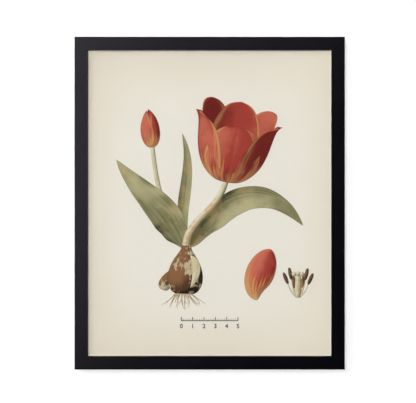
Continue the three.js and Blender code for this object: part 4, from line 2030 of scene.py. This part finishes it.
@dataclass
class Hanging:
    """The toothed hanger with its two nails, and the bumpers.

    Attributes:
        fit: The solids' sizes.
        length: The hanger's length.
        height: Its height.
        thickness: Its thickness.
        foot: Each nailed end's length.
        ramp: How far it takes to rise to the crest.
        wall_gap: From its crest to the wall.
        pitch: From notch to notch.
        tooth: The notches' depth.
        flat: The flat between two notches.
        notches: How many there are on each side of the middle one.
        corner: The radius of its corners.
        edge: The radius along its edges.
        nail_sizes: A nail's head's height, straight rim and rounding, and its shank's radius and point.
        shoulder: The radius of a bumper's shoulder.
        dish: The dish in its wall face, as shares of the flat part's radius and depths there.
        foot_edge: The rounding at its seat, and the gap from there to the wood.
    """

    fit: Fit
    length: float = 46.0
    height: float = 9.0
    thickness: float = 0.8
    foot: float = 8.0
    ramp: float = 2.5
    wall_gap: float = 0.2
    pitch: float = 2.4
    tooth: float = 1.6
    flat: float = 0.2
    notches: int = 5
    corner: float = 1.4
    edge: float = 0.14
    nail_sizes: Row = (0.8, 0.15, 0.08, 0.8, 2.0)
    shoulder: float = 1.3
    dish: Points = ((0.0, 0.25), (0.6, 0.2), (0.9, 0.02))
    foot_edge: Pair = (0.2, 0.02)

    def strip(self) -> Patch:
        """The hanger's body.

        At x, an eased section spans from the toothed lower edge to the upper edge. It is carried along
        a line that rises from foot to crest as a smooth step, and its thickness lies along that line's
        normal. Near each end both edges draw in along a quarter circle.

        Returns:
            A closed patch.
        """
        half, notch, thick = self.length / 2, (self.pitch - self.flat) / 2, self.thickness / 2
        roots = np.arange(-self.notches, self.notches + 1) * self.pitch
        teeth = stacked(roots - notch, roots, roots + notch).ravel()
        lows = np.tile([-self.tooth, 0.0, -self.tooth], len(roots))
        rise = half - self.foot
        bends = np.linspace(rise - self.ramp - 0.5, rise + 0.5, 15)
        ends = half - self.corner * (1 - np.sin(np.radians(np.linspace(0, 90, 8))))
        x = [teeth, roots + notch / 2, roots - notch / 2, bends, -bends, ends, -ends]
        x = np.unique(np.concatenate(x))
        past = np.clip(np.abs(x) - (half - self.corner), 0, self.corner)
        draw = self.corner - np.sqrt(self.corner**2 - past**2)
        low = np.interp(x, teeth, lows, left=-self.tooth, right=-self.tooth) + draw
        high = self.height - self.tooth - draw
        foot_y, crest_y = self.fit.back + thick, -self.wall_gap - thick
        y = foot_y + (crest_y - foot_y) * smooth(np.abs(x), rise + 0.2, rise - self.ramp - 0.2)
        slope = np.gradient(y, x)
        normal = unit(stacked(-slope, np.ones_like(slope)))
        section = eased([(-thick, -1), (thick, -1), (thick, 1), (-thick, 1)], [self.edge] * 4, 3)
        offset, end = section.T
        share, ease = (end > 0).astype(float), end - np.sign(end)
        z = low[:, None] * (1 - share) + high[:, None] * share + ease
        px, py = (line[:, None] + normal[:, i : i + 1] * offset for i, line in enumerate((x, y)))
        return tube(stacked(px, py, z))

    def nail(self, node: str) -> Patch:
        """A round-headed nail in place of a solid one.

        Args:
            node: The solid nail.

        Returns:
            A closed patch.
        """
        low, high = solid_box(node)
        head, (tall, rim, ease, shank, point) = (high[0] - low[0]) / 2, self.nail_sizes
        seat = high[1] - tall
        dome = arc((0, 0), 1.0, 90, 8, 7) * (head, tall - rim) + (0, seat + rim)
        under = [(head, seat + ease), (head - ease, seat), (shank, seat)]
        rest = [*under, (shank, low[1] + point), (0, low[1])]
        profile = np.concatenate([dome, rest]).T[..., None]
        return lathe(*np.tile(profile, 28), ((low + high) / 2)[[0, 2]])

    def bumper(self, node: str) -> Patch:
        """A soft foot: a disc with a rounded shoulder and a shallow dish in its wall face.

        Args:
            node: The solid foot.

        Returns:
            A closed patch.
        """
        low, high = solid_box(node)
        radius, (ease, gap) = (high[0] - low[0]) / 2, self.foot_edge
        flat, seat = radius - self.shoulder, low[1] + gap
        dish = [(share * flat, high[1] - deep) for share, deep in self.dish]
        turn = arc((flat, high[1] - self.shoulder), self.shoulder, 90, 0, 8)
        rest = [(radius, low[1] + ease), (radius - ease, seat), (0, seat)]
        profile = np.concatenate([dish, turn, rest]).T[..., None]
        return lathe(*np.tile(profile, 48), ((low + high) / 2)[[0, 2]])

    def build(self) -> None:
        """Makes them all."""
        zinc = ZincPlate()
        place(piece("hanger_strip", [self.strip()], zinc), "zinc_plate", ["toothed_hanger"])
        for number in (1, 2):
            nail = piece(f"hanger_pin_{number}", [self.nail(f"hanger_nail_{number}")], zinc)
            place(nail, "zinc_plate", [f"hanger_nail_{number}"])
            foot = piece(f"wall_bumper_{number}", [self.bumper(f"bumper_{number}")], Rubber())
            place(foot, "rubber", [f"bumper_{number}"])


@dataclass(frozen=True)
class Lamp:
    """A soft light of the studio.

    Attributes:
        name: The light's name.
        place: Where it stands, in metres.
        size: Its width and height in metres.
        strength: What it casts on a surface that faces it, in watts a square metre.
        diffuse: Whether matt surfaces get it.
        glossy: Whether glossy surfaces show it.
        square: Whether it faces the wall squarely, and not the frame's middle.
        soft: Over how many metres it fades at its edges.
    """

    name: str
    place: Triple
    size: Pair
    strength: float
    diffuse: bool = True
    glossy: bool = True
    square: bool = False
    soft: float = 0.0

    def fade(self, data: bpy.types.Light) -> None:
        """Makes the lamp fade at its edges.

        Its brightness is the product, over its width and its height, of the distance to the nearer
        edge as a share of the soft part, at most 1 and smoothed.

        Args:
            data: The lamp's data.
        """
        g = Graph.cleared(data)
        shares = []
        for at, length in zip(g.split(g.add("NewGeometry").outputs["Parametric"]), self.size):
            inwards = g.times(g.minus(0.5, g.off(at, 0.5)), length)
            shares.append(g.ramp(inwards, 0.0, self.soft))
        g.add("OutputLight", {0: g.out("Emission", {"Strength": g.times(*shares)})})


@dataclass
class Studio:
    """The camera, the lights, the wall that the frame hangs on and the floor.

    Attributes:
        fit: The solids' sizes.
        lens: The camera's focal length and its picture's width, in millimetres.
        distance: From the camera to the frame's front, in metres.
        offset: How far the camera stands to the right of the frame's middle and above it, in metres.
        floor_level: The floor's height in metres.
        wall_level: y of the wall, just behind the bumpers.
        reach: How far the wall and the floor reach, and how high the wall is, in metres.
        haze: How far off they start to fade into the distance, and have faded.
        fill: What the frontal light casts, in watts a square metre, and its angle in degrees.
        pale: How bright the distance looks.
        dim: How bright the surroundings are to matt surfaces.
        cone: The cosines between which glossy surfaces see the surroundings brighten.
        glossy: How bright they see them within the cone and outside it.
    """

    fit: Fit
    lens: Pair = (100.0, 36.0)
    distance: float = 1.849
    offset: Pair = (-0.00265, 0.00262)
    floor_level: float = -1.45
    wall_level: float = 0.0008
    reach: Pair = (30.0, 20.0)
    haze: Pair = (3.0, 9.0)
    fill: Pair = (1.33, 5.0)
    pale: float = 0.95
    dim: float = 0.06
    cone: Pair = (0.86, 0.45)
    glossy: Pair = (0.006, 0.22)
    lamps: tuple[Lamp, ...] = (
        Lamp("key", (-0.8, -4.5, 0.58), (1.12, 1.12), 1.25, glossy=False),
        Lamp("wide_key", (-5.75, -5.5, 3.13), (4.0, 4.0), 0.74, glossy=False),
        Lamp("gloss_panel", (-1.525, -3.0, 0.66), (2.15, 3.5), 1.42, diffuse=False, square=True, soft=0.45),
        Lamp("gloss_top", (-0.05, -3.0, 1.2), (1.4, 1.1), 0.34, diffuse=False, square=True, soft=0.35),
        Lamp("top_panel", (0.4, -0.3, 3.2), (3.0, 2.0), 0.5),
        Lamp("right_panel", (3.4, -0.5, 0.3), (1.6, 2.6), 0.4, glossy=False),
        Lamp("back_left", (-2.4, 2.6, -0.3), (1.6, 1.3), 1.15, glossy=False),
        Lamp("back_right", (2.2, 3.0, -0.3), (1.4, 1.3), 0.8, glossy=False),
        Lamp("gloss_left", (-2.6, 2.6, -0.6), (2.6, 3.4), 0.8, diffuse=False),
        Lamp("gloss_right", (2.6, 2.6, -0.6), (2.6, 3.4), 0.8, diffuse=False),
        Lamp("back_top", (0.2, 1.5, 2.6), (2.2, 1.2), 0.9, glossy=False),
    )

    SQUARE: ClassVar[Triple] = (math.pi / 2, 0.0, 0.0)

    @property
    def middle(self) -> Vector:
        """The frame's middle, in metres."""
        return Vector((0, self.fit.front, self.fit.middle)) * MM

    def camera(self) -> None:
        """A camera that looks straight at the wall."""
        data = bpy.data.cameras.new("camera")
        data.lens, data.sensor_width = self.lens
        made = bpy.context.scene.camera = linked("camera", data)
        made.location = self.middle + Vector((self.offset[0], -self.distance, self.offset[1]))
        made.rotation_euler = self.SQUARE

    def lights(self) -> None:
        """The frontal light and the lamps.

        A lamp of strength E at a distance d has the power pi E d^2. The lamps that only matt surfaces
        get are sampled as lights alone, because the pane stops the sheet's own rays from meeting them.
        """
        front = bpy.data.lights.new("fill", "SUN")
        front.energy, front.angle = self.fill[0], math.radians(self.fill[1])
        front.cycles.use_multiple_importance_sampling = False
        made = linked("fill", front)
        made.rotation_euler = self.SQUARE
        made.visible_glossy = made.visible_transmission = False
        for lamp in self.lamps:
            data = bpy.data.lights.new(lamp.name, "AREA")
            data.shape, (data.size, data.size_y) = "RECTANGLE", lamp.size
            way = self.middle - Vector(lamp.place)
            data.energy = math.pi * lamp.strength * way.length_squared
            data.cycles.use_multiple_importance_sampling = lamp.glossy
            if lamp.soft:
                lamp.fade(data)
            made = linked(lamp.name, data)
            made.location = lamp.place
            made.rotation_euler = self.SQUARE if lamp.square else way.to_track_quat("-Z", "Y").to_euler()
            made.visible_diffuse, made.visible_glossy = lamp.diffuse, lamp.glossy
            made.visible_camera = made.visible_transmission = False

    def world(self) -> None:
        """Pale to the eye and dim as a light.

        Glossy surfaces see it dark within a cone in front of the wall, where the camera stands, and
        softly lit all round that.
        """
        world = bpy.context.scene.world = bpy.data.worlds.new("studio")
        g = Graph.cleared(world)
        rays = g.add("LightPath").outputs
        way = g.split(g.place("Generated"))
        around = g.ramp(g.times(way[1], -1.0), *self.cone, *self.glossy)
        matt, gloss, pale = (
            g.out("Background", {"Color": WHITE, "Strength": strength})
            for strength in (self.dim, around, self.pale)
        )
        mirror = g.math("MAXIMUM", rays["Is Glossy Ray"], rays["Is Transmission Ray"])
        unseen = g.out("MixShader", {0: mirror, 1: matt, 2: gloss})
        shown = g.out("MixShader", {0: rays["Is Camera Ray"], 1: unseen, 2: pale})
        g.add("OutputWorld", {0: shown})

    def backdrop(self, name: str, points: Points, colour: Colour, glow: float, lighting: bool) -> None:
        """A pale plane that is seen from one side only.

        Args:
            name: The plane's name.
            points: Its corners in metres, anticlockwise as seen.
            colour: Its colour.
            glow: The light that it gives of itself.
            lighting: Whether other surfaces take its light.
        """
        mesh = bpy.data.meshes.new(name)
        mesh.from_pydata([tuple(p) for p in points], [], [(0, 1, 2, 3)])
        material = bpy.data.materials.new(name)
        mesh.materials.append(material)
        g = Graph.cleared(material)
        matt = g.out("BsdfDiffuse", {"Color": colour})
        light, haze = (
            g.out("Emission", {"Color": WHITE, "Strength": strength})
            for strength in (glow, self.pale)
        )
        away = g.add("VectorMath", {0: g.place()}, operation="LENGTH").outputs["Value"]
        both = g.out("AddShader", {0: matt, 1: light})
        both = g.out("MixShader", {0: g.ramp(away, *self.haze), 1: both, 2: haze})
        behind = g.add("NewGeometry").outputs["Backfacing"]
        clear = g.out("BsdfTransparent")
        g.add("OutputMaterial", {"Surface": g.out("MixShader", {0: behind, 1: both, 2: clear})})
        made = linked(name, mesh)
        made.visible_shadow = made.visible_glossy = made.visible_transmission = False
        made.visible_diffuse = lighting

    def build(self) -> None:
        """Sets up the studio."""
        self.camera()
        self.lights()
        self.world()
        bpy.context.scene.view_settings.view_transform = "Standard"
        (far, high), low, wall = self.reach, self.floor_level, self.wall_level
        upright = [(-far, wall, low), (far, wall, low), (far, wall, high), (-far, wall, high)]
        level = [(-far, -far, low), (far, -far, low), (far, far, low), (-far, far, low)]
        self.backdrop("wall", upright, (0.95, 0.95, 0.95, 1.0), glow=0.13, lighting=True)
        self.backdrop("floor", level, (0.8, 0.8, 0.8, 1.0), glow=0.5, lighting=False)


def main() -> None:
    """Builds the frame's parts in order, then the studio."""
    logging.basicConfig(level=logging.INFO, format="%(name)s: %(message)s")
    fit = Fit.read()
    Mouldings(fit).build()
    stack = Stack(fit)
    stack.build()
    Drawing(stack.sheet_front, fit.middle).build()
    Fixings(fit).build()
    Hanging(fit).build()
    Studio(fit).build()
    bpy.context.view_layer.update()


if __name__ == "__main__":
    main()
